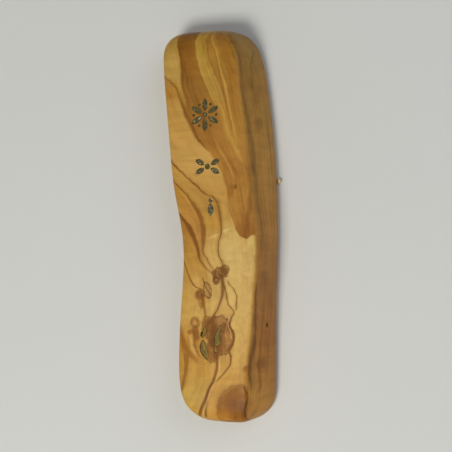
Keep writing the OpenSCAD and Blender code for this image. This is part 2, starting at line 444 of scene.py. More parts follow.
    def drawn(self, places: Sequence[Socket], by: Point3, detail: float, rough: float = 0.5,
              distort: float = 0.0) -> Outlet:
        """Noise with its own fineness along each axis."""
        return self.noise(self.stretched(places, by), 1.0, detail, rough, distort)

    def cells(self, vector: Outlet, scale: float, feature: str = "F1") -> bpy.types.Node:
        """Adds a Voronoi texture of grains."""
        made = self.node("ShaderNodeTexVoronoi", feature=feature)
        self.join(vector, made.inputs["Vector"])
        made.inputs["Scale"].default_value = scale
        return made

    def bump(self, height: Outlet, depth: float, strength: float) -> Outlet:
        """Adds relief to the surface.

        Args:
            height: the relief, from 0 to 1.
            depth: its depth in millimetres.
            strength: how strongly it shows.

        Returns:
            The normal's socket.
        """
        made = self.node("ShaderNodeBump")
        made.inputs["Distance"].default_value = depth * MM
        made.inputs["Strength"].default_value = strength
        self.join(height, made.inputs["Height"])
        return made.outputs[0]

    def surface(self, **values: object) -> bpy.types.Material:
        """Sets the shader's sockets by name, with _ for a space, and returns the material."""
        for name, value in values.items():
            self.join(value, self.shader.inputs[name.replace("_", " ")])
        return self.material


GUIDE_LOW = -105.0    # heights that a guide line covers
GUIDE_HIGH = 105.0
GUIDE_LEFT = -70.0    # sideways places that it covers
GUIDE_RIGHT = 70.0


@dataclass(frozen=True)
class Band:
    """A band of one growth of wood: everything right of its edge line, up to the next band.

    Attributes:
        edge: (height, sideways place) points of its left edge, from the top down.
        colours: (height, colour, cover) from the top down, with a cover of 1 left out.
        blur: half the width of its edge.
    """

    edge: tuple[Point2, ...]
    colours: tuple[tuple, ...]
    blur: float = 0.6


@dataclass(frozen=True)
class Vein:
    """A dark growth line; the three that run just right of the crest are painted shade.

    Attributes:
        line: (height, sideways place) points, from the top down.
        width: half its width, either one for all of it or as (height, half width) points.
        strength: how dark it is, from 0 to 1.
        colour: its colour.
        taper: over how much height it fades at its ends.
        halo: how far a weak stain spreads to its sides.
        edge: how soft its own edges are.
    """

    line: tuple[Point2, ...]
    width: Union[float, tuple[Point2, ...]]
    strength: float = 0.8
    colour: str = "#6f4316"
    taper: float = 4.0
    halo: float = 1.0
    edge: float = 0.25


@dataclass(frozen=True)
class Patch:
    """A round or long patch of other colour, with a ragged edge.

    Attributes:
        middle: (sideways place, height) of its middle.
        radii: half its width and half its height.
        colour: its colour.
        cover: how strongly it covers, from 0 to 1.
        turn: how far it is turned, in degrees.
        ragged: how much noise moves its edge.
        soft: how soft its edge is, as a share of its radius.
        rim: how dark a line runs round it, from 0 to 1.
    """

    middle: Point2
    radii: Point2
    colour: str
    cover: float = 0.8
    turn: float = 0.0
    ragged: float = 0.5
    soft: float = 0.3
    rim: float = 0.0


CREST_LINE = ((99, -2.7), (94, 2.8), (87, 6.9), (80, 8.8), (72, 9.5), (63, 10.9), (54, 12.3),
              (38, 14.4), (18, 16.7), (-2, 18.9), (-14, 19.6), (-32, 18.8), (-46, 17.5),
              (-59, 16.1), (-71, 14.9), (-84, 15), (-97, 13.4))

BANDS = (
    Band(((39, -56), (16, -29.3), (5, -21.2), (0, -16.2), (-8, -12.3), (-20, -7.3), (-37, -4),
          (-57, -7.9), (-67, -6.8), (-75, -5.7), (-85, -9.2), (-97, -16.5)),
         ((12, "#b4863f"), (0, "#b08040"), (-8, "#b98a47"), (-20, "#bf9a58"),
          (-40, "#c6a462", 0.8), (-60, "#b98c48", 0.6), (-75, "#bd934a", 0.5),
          (-95, "#c09a52", 0.3)), 1.1),
    Band(((45, -54), (22, -24.5), (16, -17.2), (8, -11.7), (0, -8.1), (-12, -8.4), (-17, -6.2),
          (-23, -1.8), (-33, -0.2), (-46, -2.9), (-68, -1.3), (-76, -2.5), (-86, -7),
          (-96, -12.4)), ((24, "#b78c47"), (8, "#a97f3d"), (0, "#b5893f"), (-8, "#c29c58"),
          (-30, "#c7a564", 0.9), (-50, "#b68a48", 0.5), (-78, "#c29a52", 0.6),
          (-96, "#b58a42", 0.6)), 0.8),
    Band(((62, -54), (32, -25.6), (27, -19.4), (21, -12.9), (16, -7.2), (13, -1.2), (5, 1.2),
          (-2, 1.7), (-10, -0.4), (-17, 1.5), (-26, 2.6), (-39, 5.5), (-43, 8), (-49, 6.3),
          (-56, 8.4), (-67, 6.2), (-72, 4), (-81, -4.2), (-96, -9.2)),
         ((50, "#bb914c"), (32, "#bd9452"), (16, "#b88d48"), (5, "#b38c48"),
          (-5, "#c6a662"), (-15, "#c9ab69"), (-40, "#caa863"),
          (-64, "#c69f57", 0.9), (-76, "#bd9048", 0.9), (-86, "#ba8d48"), (-96, "#b48640")), 0.7),
    Band(((98, -44.3), (76, -29.7), (69, -22.9), (61, -19.5), (55, -16.7), (45, -11.9),
          (38, -6.2), (29, 0.4), (19, 3.1), (9, 5.3), (-1, 8.5), (-12, 10.7), (-32, 11.7),
          (-71, 11.5), (-96, 8.2)),
         ((100, "#ad8740"), (85, "#b7944e"), (76, "#b79550"), (66, "#a8823e"),
          (58, "#93662c"), (42, "#986a2e"), (34, "#ac7c38", 0.9), (22, "#b88d48", 0.9),
          (8, "#bd954f", 0.6), (-6, "#cba765", 0.3), (-20, "#cda868", 0.2),
          (-80, "#a97a38", 0.3)), 0.7),
    Band(((102, -27.9), (96, -25.3), (86, -21.6), (77, -20.7), (68, -19.5), (64, -17.8),
          (56, -15.6), (50, -13.4), (45, -11.1), (34, -2.5), (24, 2.5), (12, 5.6), (0, 9.5),
          (-12, 12), (-40, 13), (-97, 10.2)),
         ((102, "#82571e"), (88, "#8f6125"), (74, "#90632a"), (62, "#94682c"),
          (48, "#9b6c30"), (38, "#a17132"), (28, "#a87a38", 0.6),
          (14, "#b08442", 0.2), (-97, "#a87a38", 0)), 0.5),
    Band(((102, -19.4), (95, -14.8), (86, -13), (76, -9.7), (68, -6.3), (62, -3.3), (54, 0.8),
          (45, 4.1), (39, 6.8), (29, 10), (18, 12.2), (3, 14.4), (-12, 16), (-32, 16.9),
          (-59, 15.1), (-96, 12.8)),
         ((102, "#a37c34"), (88, "#b38e40"), (70, "#b28c44"), (56, "#ab7f3a"),
          (44, "#ae833e"), (34, "#a87a38", 0.8), (18, "#9c6d30", 0.7),
          (0, "#a97e3c", 0.3), (-20, "#c9a462", 0.2), (-60, "#bd9350", 0.3),
          (-90, "#a67634", 0.5)), 0.5),
    Band(((103, -13.6), (95, -8.8), (85, -6.8), (78, -3.5), (67, 1.4), (56, 4), (43, 7.8),
          (30, 11.6), (15, 14.8), (-2, 17.5), (-17, 18.5), (-37, 17.8), (-59, 15.8), (-96, 13.4)),
         ((103, "#986c2c"), (86, "#a57a36"), (66, "#9d7034"), (50, "#a37533"),
          (38, "#b2893f"), (26, "#a77a38", 0.8), (8, "#966a2e", 0.6),
          (-6, "#b28846", 0.3), (-96, "#a07334", 0.3)), 0.6),
    Band(((103, -8.7), (95, -3.1), (85, 0.9), (78, 3.7), (67, 5.7), (58, 7.2), (49, 8.8),
          (40, 11.2), (28, 14.6), (13, 16.6), (-2, 18.6), (-15, 19.4), (-36, 18.5), (-59, 16.3),
          (-96, 13.9)), ((103, "#8c6430"), (88, "#9a6c2c"), (62, "#9f7130"), (44, "#a87c38"),
          (28, "#a97e3a", 0.8), (6, "#93662c", 0.8), (-8, "#b08542", 0.4),
          (-96, "#a07334", 0.3)), 0.6),
    Band(((46, 5), (39, 1.5), (32, 2.5), (25, 2.6), (20, 3.7), (16, 4.6), (12, 5.4), (7, 6),
          (3, 7.6), (-1, 9), (-4, 10.7), (-5.7, 12.8), (-6.8, 17), (-10, 30)),
         ((47, "#9c6c2e", 0), (36, "#a27236", 0.55), (26, "#9d6c30", 0.8), (16, "#a67a38"),
          (4, "#a47638"), (-3, "#925f26"), (-9, "#82511c")), 0.7),
)

SIDE = Band(CREST_LINE, ((100, "#8f6f36"), (90, "#9c773c"), (74, "#a57b3b"), (50, "#a97f3e"),
             (20, "#ad7f40"), (0, "#b3803f"), (-25, "#a9763a"), (-55, "#a87238"),
             (-70, "#a9763c"), (-84, "#b48443"), (-98, "#ac793a")), 0.45)

VEINS = (
    Vein(((80, -37), (76, -30.2), (72, -25.7), (69, -23), (65, -21.4), (61, -19.5),
          (55, -17), (50, -14.5), (45, -12), (40, -8), (36, -5)),
         ((76, 0.5), (66, 0.5), (58, 0.8), (46, 0.95), (40, 0.5)), 0.75, "#70400f", 4, 1.8, 0.4),
    Vein(((45, -42), (33, -26.5), (27, -19.4), (21, -12.9), (16, -7.2), (14.5, -3.2),
          (12, -0.6), (5, 1.2), (-2, 1.7), (-10, -0.4), (-14, -0.2), (-18, 2), (-23, 2.6)),
         ((33, 0.95), (27, 0.55), (16, 0.45), (10, 0.32), (0, 0.5), (-8, 0.3), (-13, 0.42),
          (-20, 0.25)), 0.85, "#6f4009", 4, 1.7),
    Vein(((16, -2), (11, 0.9), (4, 2.3), (-3, 2.7)), 0.5, 0.3, "#8a5a20", 4, 1.6, 0.6),
    Vein(((38, -43), (24, -26), (16, -17.2), (8, -11.7), (2, -9), (-5, -8), (-12, -8.4),
          (-17, -6.2), (-24, -1.2)),
         ((24, 0.45), (14, 0.6), (8, 0.95), (0, 1.15), (-8, 0.95), (-13, 0.5), (-20, 0.4)),
         0.8, "#7d4a12", 4, 1.8, 0.5),
    Vein(((24, -25.6), (16, -18), (8, -12.7), (2, -10.2), (-5, -9.2), (-11, -9)), 0.22, 0.5,
         "#5f360a", 4, 0.6, 0.2),
    Vein(((14, -34), (6, -22.5), (3, -19), (0, -16.6), (-8, -12.5), (-13, -10.8),
          (-17, -10.2), (-20, -8.2), (-24, -3.4), (-26, -1)),
         ((6, 1.3), (0, 1.35), (-8, 1.15), (-13, 0.85), (-17, 0.5), (-22, 0.45)), 0.85,
         "#6f3f0c", 4, 2.2, 0.5),
    Vein(((-13, -24), (-17, -20.4), (-22, -18), (-27, -15.7), (-30, -13.7), (-32, -10.2),
          (-34, -8)), ((-17, 0.4), (-27, 0.55), (-31, 0.8), (-34, 0.6)), 0.75, "#7a4814", 3, 1.4),
    Vein(((-25, -9.4), (-30, -7.3), (-33, -5.3), (-35.6, -3.8)), 0.3, 0.85, "#643a10", 2, 0.8),
    Vein(((-34, -8.8), (-39, -8.6), (-43, -7.3), (-49, -7)),
         ((-34, 0.9), (-40, 0.7), (-46, 0.4)), 0.75, "#7d4a16", 3, 1.3, 0.4),
    Vein(((-22, 0.4), (-26, 1.8), (-30, 2.7), (-33, 2.6), (-37, 1.5), (-41, 0), (-44, -2),
          (-47, -4.2), (-51, -7.2)),
         ((-24, 0.6), (-31, 0.95), (-36, 0.75), (-42, 0.55), (-49, 0.75)), 0.8, "#724214", 3,
         1.6, 0.35),
    Vein(((-23, 2.2), (-28, 3), (-33, 4.2), (-38, 5.3), (-41, 7.4), (-43, 8.5), (-46, 6.9),
          (-49, 6.4), (-53, 8), (-56, 8.4), (-59, 6.8), (-62, 5.5), (-65, 6.4), (-67, 6.5),
          (-72, 3.9), (-77, -1), (-82, -5.2), (-90, -7.4), (-98, -8.9)),
         ((-24, 0.28), (-40, 0.35), (-54, 0.5), (-64, 0.45), (-74, 0.4), (-84, 0.6),
          (-97, 0.65)), 0.85, "#6b3f10", 3, 1.2),
    Vein(((-44, 5.9), (-49, 5.2), (-53, 6.7), (-57, 7.1)), 0.3, 0.45, "#dcb878", 2, 0.4),
    Vein(((-26, 4), (-29, 6.4), (-32, 8.6), (-36, 9.9), (-40, 9.9), (-43, 8.9)), 0.32, 0.8,
         "#744312", 2, 1.1),
    Vein(((-58, -1.9), (-65, -1), (-70, -1.1), (-76, -2.5), (-81, -4.9), (-86, -7.2),
          (-92, -10.2), (-98, -13)), ((-62, 0.6), (-70, 0.7), (-80, 0.75), (-97, 0.95)), 0.85,
         "#74420f", 3, 1.3, 0.35),
    Vein(((-64, 0.2), (-70, 0.4), (-76, -0.9), (-81, -3.7), (-86, -5.9), (-98, -10.6)), 0.35,
         0.5, "#dcb46c", 5, 0.5, 0.3),
    Vein(((-50, -14.8), (-54, -13.4), (-60, -12.9), (-64, -11.6), (-66, -9.6), (-68, -6.4)),
         ((-52, 0.9), (-60, 0.8), (-67, 0.4)), 0.7, "#80501c", 3, 1.4, 0.4),
    Vein(((-46, -26), (-52, -21.6), (-57, -19.6), (-62, -17.4), (-66, -14.2), (-69, -10.6),
          (-69.5, -7)), ((-52, 1.2), (-60, 1.7), (-66, 1.9), (-70, 0.9)), 0.72, "#8a561c", 4,
         3, 0.9),
    Vein(((-62, -17.4), (-66, -17.6), (-72, -17.8), (-77, -18.8), (-82, -20.2), (-87, -22.4)),
         ((-64, 1.6), (-72, 1), (-80, 0.9), (-86, 0.8)), 0.75, "#84511a", 4, 1.8, 0.5),
    Vein(((-78, 13), (-81, 13.8), (-84, 15), (-88, 14.3), (-92, 13.4), (-97, 13.3)), 0.24,
         0.95, "#3c210a", 2, 1.1, 0.15),
    Vein(((103, -16.4), (92, -10), (82, -6.6), (70, -1.4), (58, 2.4), (48, 5.4)), 0.3, 0.3,
         "#7c4f1c", 8, 1, 0.4),
    Vein(((103, -10.8), (92, -4), (82, -0.4), (72, 2.6), (60, 5.4), (50, 7.6), (40, 10)),
         0.6, 0.6, "#c3994c", 8, 0.6, 0.4),
    Vein(((96, -6), (84, -1.6), (72, 1), (60, 4.4), (52, 6.4), (44, 8.4)), 0.3, 0.5,
         "#7a4c18", 8, 0.6, 0.3),
    Vein(((62, 0.2), (54, 3), (46, 5.6), (38, 9.4), (30, 12.6)), 0.6, 0.5, "#c3994c", 6, 0.6, 0.5),
    Vein(((44, 0.4), (38, 3), (32, 6.4), (26, 10), (20, 12.6)), 0.6, 0.42, "#80501a", 6, 0.8, 0.5),
    Vein(((46, -3.6), (40, -0.2), (34, 3.4), (28, 6.6), (22, 8.8)), 0.4, 0.42, "#c79c50", 6,
         0.6, 0.4),
    Vein(((20, 8.4), (12, 9.2), (4, 11.2), (-2, 13.4)), 0.4, 0.42, "#b07834", 5, 0.7, 0.4),
    Vein(((24, 11.6), (14, 12.8), (6, 14.2), (-2, 16.2)), 0.5, 0.42, "#7b4a16", 6, 0.8, 0.4),
    Vein(((-45, -1), (-49, -3.6), (-52, -2.8), (-56, -3.8), (-62, -2.8), (-67, -1.8)), 0.35, 0.6,
         "#5a3510", 2, 1, 0.25),
    Vein(((-46, 3), (-49, 4.4), (-53, 3.6), (-58, 4.8), (-62, 3.8)), 0.3, 0.5, "#bd9054", 2, 0.6,
         0.25),
)

SIDE_MARKS_AND_CREST_SHADE = (
    # The first three lines are painted shade: a dark band just right of the crest, where the front
    # turns away from the light.
    Vein(((-24, 20), (-30, 19.7), (-40, 18.9), (-50, 18), (-59, 17.2), (-66, 16.4),
          (-71, 16), (-78, 16.2), (-84, 16.6)), ((-30, 0.25), (-50, 0.35), (-66, 0.6),
         (-84, 0.4)), 0.62, "#4c2d0c", 9, 1.3, 0.3),
    Vein(((102, -1), (94, 4.6), (87, 8.6), (80, 10.4), (70, 11.5), (54, 14), (38, 16.2),
          (22, 18.2)), 0.9, 0.5, "#5c3d14", 9, 2.2, 0.8),
    Vein(((36, 16.8), (24, 18.2), (14, 19.2), (4, 20.6), (-8, 21.2), (-18, 21)), 0.4, 0.35,
         "#5c3a12", 9, 1.4, 0.3),
    Vein(((93, 10.8), (89, 13.2), (82, 14), (73, 14.5), (66, 15.2)), 0.22, 0.55, "#5a5220", 5,
         0.5),
    Vein(((60, 15.4), (44, 17.6), (28, 19.6), (12, 21.2)), 0.5, 0.4, "#a87738", 9, 0.8, 0.4),
    Vein(((-34, 21.4), (-48, 20.4), (-62, 19.2), (-76, 18.4)), 0.35, 0.42, "#6b3c16", 9, 0.8, 0.3),
    Vein(((-66, 18.2), (-74, 18.9), (-80, 19), (-85, 17.6)), 0.25, 0.5, "#643a14", 4, 0.6, 0.3),
    Patch((17.9, 51.5), (1.2, 3), "#714722", 0.5, 0, 0.8, 0.6),
    Patch((21.5, -27), (1.1, 5), "#7a4d20", 0.5, 0, 0.9, 0.6),
    Patch((19.4, -69), (1.6, 3.6), "#73491f", 0.5, 0, 0.9, 0.6),
    Patch((16.4, 66), (1, 6), "#805a2a", 0.4, 0, 0.9, 0.6),
)

PATCHES_AND_PAINTED_SHEEN = (
    Patch((0.9, -23.4), (4.6, 2.8), "#704418", 0.95, 8, 1, 0.22, 0.5),
    Patch((3.6, -21.4), (2.2, 2.4), "#784b1b", 0.85, 0, 1, 0.25, 0.3),
    Patch((-1, -27.2), (2, 2.2), "#66380f", 0.9, 0, 0.8, 0.25, 0.3),
    Patch((-10.4, -34.4), (2.8, 2.4), "#77451a", 0.9, 20, 1, 0.3, 0.3),
    Patch((-9.4, -38), (2, 3.4), "#85521c", 0.7, 10, 1, 0.4, 0.2),
    Patch((-6.2, -32.2), (2.3, 3.9), "#a57c48", 0.8, 14, 0.7, 0.2, 0.75),
    Patch((-13, -29), (2.4, 3), "#d2aa66", 0.5, 0, 0.8, 0.6),
    Patch((1, -54.2), (7.3, 9.4), "#8f6129", 0.95, 4, 0.5, 0.12, 0.85),
    Patch((-3.4, -62.6), (4.4, 5.6), "#84551f", 0.92, -14, 0.7, 0.2, 0.4),
    Patch((-5.2, -51.4), (3.6, 6.6), "#7f511c", 0.92, 10, 0.8, 0.25, 0.4),
    Patch((1.4, -47.6), (2.6, 3), "#a87c4a", 0.7, 0, 0.8, 0.3, 0.2),
    Patch((-1.4, -56), (3.4, 6.6), "#6d4315", 0.75, 2, 0.9, 0.35, 0.3),
    Patch((3.4, -50.6), (2.2, 3), "#724415", 0.8, -30, 1, 0.4, 0.3),
    Patch((5, -56.6), (1.6, 5), "#b98950", 0.3, 0, 0.9, 0.5),
    Patch((3.4, -60.6), (2.6, 1.8), "#85511f", 0.7, 20, 1, 0.4, 0.2),
    Patch((-12.6, -48.6), (2.7, 2.9), "#86531c", 0.8, 0, 0.4, 0.25),
    Patch((-12.7, -48.9), (1.5, 1.6), "#b78b4a", 0.85, 0, 0.4, 0.3, 0.3),
    Patch((-12.2, -53.8), (1.8, 3.6), "#7f4d1a", 0.85, 12, 0.8, 0.3, 0.2),
    Patch((-15.4, -53.4), (1.5, 1.2), "#8a561d", 0.8, 0, 0.5, 0.3),
    Patch((-14, -60.6), (1.3, 5), "#d6ae6a", 0.55, 14, 0.5, 0.5),
    Patch((15, -70.8), (2.3, 1.5), "#8f5520", 0.9, 20, 1, 0.4, 0.2),
    Patch((14.4, -74.2), (2.4, 3.4), "#a6732e", 0.55, 0, 0.8, 0.6),
    Patch((8.6, -91.6), (9.6, 13.4), "#8b5712", 0.94, -20, 0.35, 0.2, 0.35),
    Patch((6.4, -89), (5.8, 5), "#764305", 0.75, 0, 1.1, 0.8),
    Patch((12.6, -91.4), (2.2, 4.2), "#6b3d12", 0.65, 0, 0.9, 0.7),
    Patch((4, -95.4), (4.4, 2.2), "#a8722e", 0.6, 0, 0.9, 0.6),
    Patch((12.2, -1.4), (1.7, 3.4), "#a97b3b", 0.6, 0, 0.6, 0.5),
    # Painted sheen: these two pale streaks stand in for light shimmering off the figure
    # (chatoyance).
    Patch((4, -2.2), (2.2, 0.55), "#dcc084", 0.6, 20, 0.4, 0.6),
    Patch((-2.3, -5), (2.7, 0.7), "#dabc7c", 0.6, 24, 0.4, 0.6),
    Patch((3.2, -5.6), (1.9, 0.8), "#b48b43", 0.5, 20, 0.4, 0.6),
    Patch((6.9, 17.6), (1.9, 3.4), "#875118", 0.65, 0, 0.9, 0.5),
    Patch((9.3, 19.4), (0.9, 1.1), "#6a3a0c", 0.8, 0, 0.5, 0.5),
    Patch((14.4, 0.4), (3.2, 5.4), "#7f4a14", 0.5, 0, 0.7, 0.7),
    Patch((19.8, -9.2), (5.2, 5), "#c6a662", 1, 20, 0.08, 0.12),
    Patch((16.6, 10), (1.1, 13), "#7a4612", 0.6, -6, 0.7, 0.7),
    Patch((-26.6, 68.6), (5, 5.4), "#a37028", 0.6, 20, 0.8, 0.6),
)


def share_of(height: float) -> float:
    """A height as 0 at the guides' bottom and 1 at their top."""
    return (height - GUIDE_LOW) / (GUIDE_HIGH - GUIDE_LOW)


class WoodGraph(Graph):
    """Node calls that only the figured olive wood uses."""

    def height_share(self, height: Socket) -> Outlet:
        """Turns a height in millimetres into 0 at the guides' bottom and 1 at their top."""
        return self.maths("MULTIPLY_ADD", height, 1 / (GUIDE_HIGH - GUIDE_LOW),
                          -GUIDE_LOW / (GUIDE_HIGH - GUIDE_LOW), clamp=True)

    def guide(self, share: Socket, line: Sequence[Point2]) -> Outlet:
        """A line's sideways place at each height.

        Args:
            share: the height, from 0 to 1.
            line: (height, sideways place) points.

        Returns:
            The sideways place in millimetres.
        """
        made = self.node("ShaderNodeFloatCurve")
        self.join(share, made.inputs["Value"])
        curve = made.mapping.curves[0]
        spots = sorted((share_of(h), (x - GUIDE_LEFT) / (GUIDE_RIGHT - GUIDE_LEFT))
                       for h, x in line)
        curve.points[0].location = spots[0]
        curve.points[1].location = spots[-1]
        for spot in spots[1:-1]:
            curve.points.new(*spot)
        for point in curve.points:
            point.handle_type = "AUTO_CLAMPED"
        made.mapping.update()
        return self.scaled(made.outputs[0], GUIDE_RIGHT - GUIDE_LEFT, GUIDE_LEFT)

    def colour_run(self, share: Socket, colours: Sequence[tuple]) -> bpy.types.Node:
        """A ramp of a band's colours up the case, with its cover as alpha."""
        stops = sorted((share_of(h), tint(code)[:3] + tuple(cover or (1.0,)))
                       for h, code, *cover in colours)
        return self.ramp(share, stops)


@dataclass(frozen=True)
class Spot:
    """Where a point of the wood lies in its figure.

    Attributes:
        across: its sideways place, swayed with the grain.
        high: its height, swayed with the grain.
        share: that height, from 0 at the guides' bottom to 1 at their top.
        here: its plain place, for noise.
    """

    across: Outlet
    high: Outlet
    share: Outlet
    here: Outlet


class Layer(WoodGraph):
    """A small node group that lays one band, vein or patch over the colour so far."""

    def __init__(self, name: str) -> None:
        """Starts the group.

        Args:
            name: the group's name.
        """
        self.tree = bpy.data.node_groups.new(name, "ShaderNodeTree")
        faces = self.tree.interface
        faces.new_socket("Colour", in_out="INPUT", socket_type="NodeSocketColor")
        for title in ("Across", "High", "Share"):
            faces.new_socket(title, in_out="INPUT", socket_type="NodeSocketFloat")
        faces.new_socket("Here", in_out="INPUT", socket_type="NodeSocketVector")
        faces.new_socket("Colour", in_out="OUTPUT", socket_type="NodeSocketColor")
        sockets = self.node("NodeGroupInput").outputs
        self.colour = sockets[0]
        self.spot = Spot(*sockets[1:5])
        self.end = self.node("NodeGroupOutput")

    def put_on(self, main: Graph, colour: Socket, spot: Spot) -> Outlet:
        """Adds the finished group to a material.

        Args:
            main: the material's tree.
            colour: the colour so far.
            spot: where the point lies.

        Returns:
            The new colour.
        """
        made = main.node("ShaderNodeGroup", node_tree=self.tree)
        values = (colour, spot.across, spot.high, spot.share, spot.here)
        for value, socket in zip(values, made.inputs):
            main.join(value, socket)
        return made.outputs[0]

    def lay(self, amount: Socket, code: Union[str, Outlet]) -> None:
        """Ends the group by mixing a colour in."""
        value = tint(code) if isinstance(code, str) else code
        self.colour = self.mix(amount, self.colour, value)
        self.join(self.colour, self.end.inputs[0])

    def band(self, band: Band) -> None:
        """Colours everything right of a band's edge line."""
        run = self.colour_run(self.spot.share, band.colours)
        off = self.less(self.spot.across, self.guide(self.spot.share, band.edge))
        past = self.step(off, -band.blur, band.blur)
        self.lay(self.times(past, run.outputs[1]), run.outputs[0])

    def vein(self, vein: Vein) -> None:
        """Draws a vein, with a weak stain to its sides, that fades at its ends."""
        heights = [h for h, _ in vein.line]
        middle = (max(heights) + min(heights)) / 2
        half = (max(heights) - min(heights)) / 2
        away = self.maths("ABSOLUTE", self.less(self.spot.high, middle))
        ends = self.step(away, half, half - vein.taper)
        line = self.guide(self.spot.share, vein.line)
        off = self.maths("ABSOLUTE", self.less(self.spot.across, line))
        wide = vein.width
        if isinstance(wide, tuple):
            wide = self.guide(self.spot.share, wide)
        core = self.step(self.less(off, wide), vein.edge, -vein.edge)
        stain = self.step(off, self.plus(wide, vein.halo), 0.0)
        amount = self.maths("MAXIMUM", core, self.times(stain, 0.4))
        self.lay(self.times(amount, self.times(ends, vein.strength)), vein.colour)

    def patch(self, patch: Patch) -> None:
        """Lays a ragged patch, with a dark rim if it has one."""
        turn = math.radians(patch.turn)
        x = self.less(self.spot.across, patch.middle[0])
        z = self.less(self.spot.high, patch.middle[1])
        u = self.scaled(x, math.cos(turn) / patch.radii[0],
                        self.times(z, math.sin(turn) / patch.radii[0]))
        v = self.scaled(x, -math.sin(turn) / patch.radii[1],
                        self.times(z, math.cos(turn) / patch.radii[1]))
        away = self.maths("SQRT", self.scaled(u, u, self.times(v, v)))
        ragged = self.noise(self.spot.here, 1.6 / min(patch.radii), 4, 0.65)
        away = self.scaled(ragged, patch.ragged, self.less(away, patch.ragged / 2))
        inside = self.step(away, 1 + patch.soft, 1 - patch.soft)
        inside = self.times(inside, self.step(ragged, 0.1, 0.55))
        self.lay(self.times(inside, patch.cover), patch.colour)
        if patch.rim > 0:
            rim = self.step(self.maths("ABSOLUTE", self.less(away, 1.0)),
                            0.45 / min(patch.radii), 0.0)
            self.lay(self.times(rim, patch.rim), "#60390f")


def layered(main: Graph, colour: Socket, spot: Spot,
            marks: Sequence[Union[Band, Vein, Patch]]) -> Outlet:
    """Lays bands, veins or patches over a colour, in their order.

    Args:
        main: the material's tree.
        colour: the colour so far.
        spot: where the point lies.
        marks: what to lay over it.

    Returns:
        The new colour.
    """
    for mark in marks:
        layer = Layer(type(mark).__name__.lower())
        getattr(layer, type(mark).__name__.lower())(mark)
        colour = layer.put_on(main, colour, spot)
    return colour


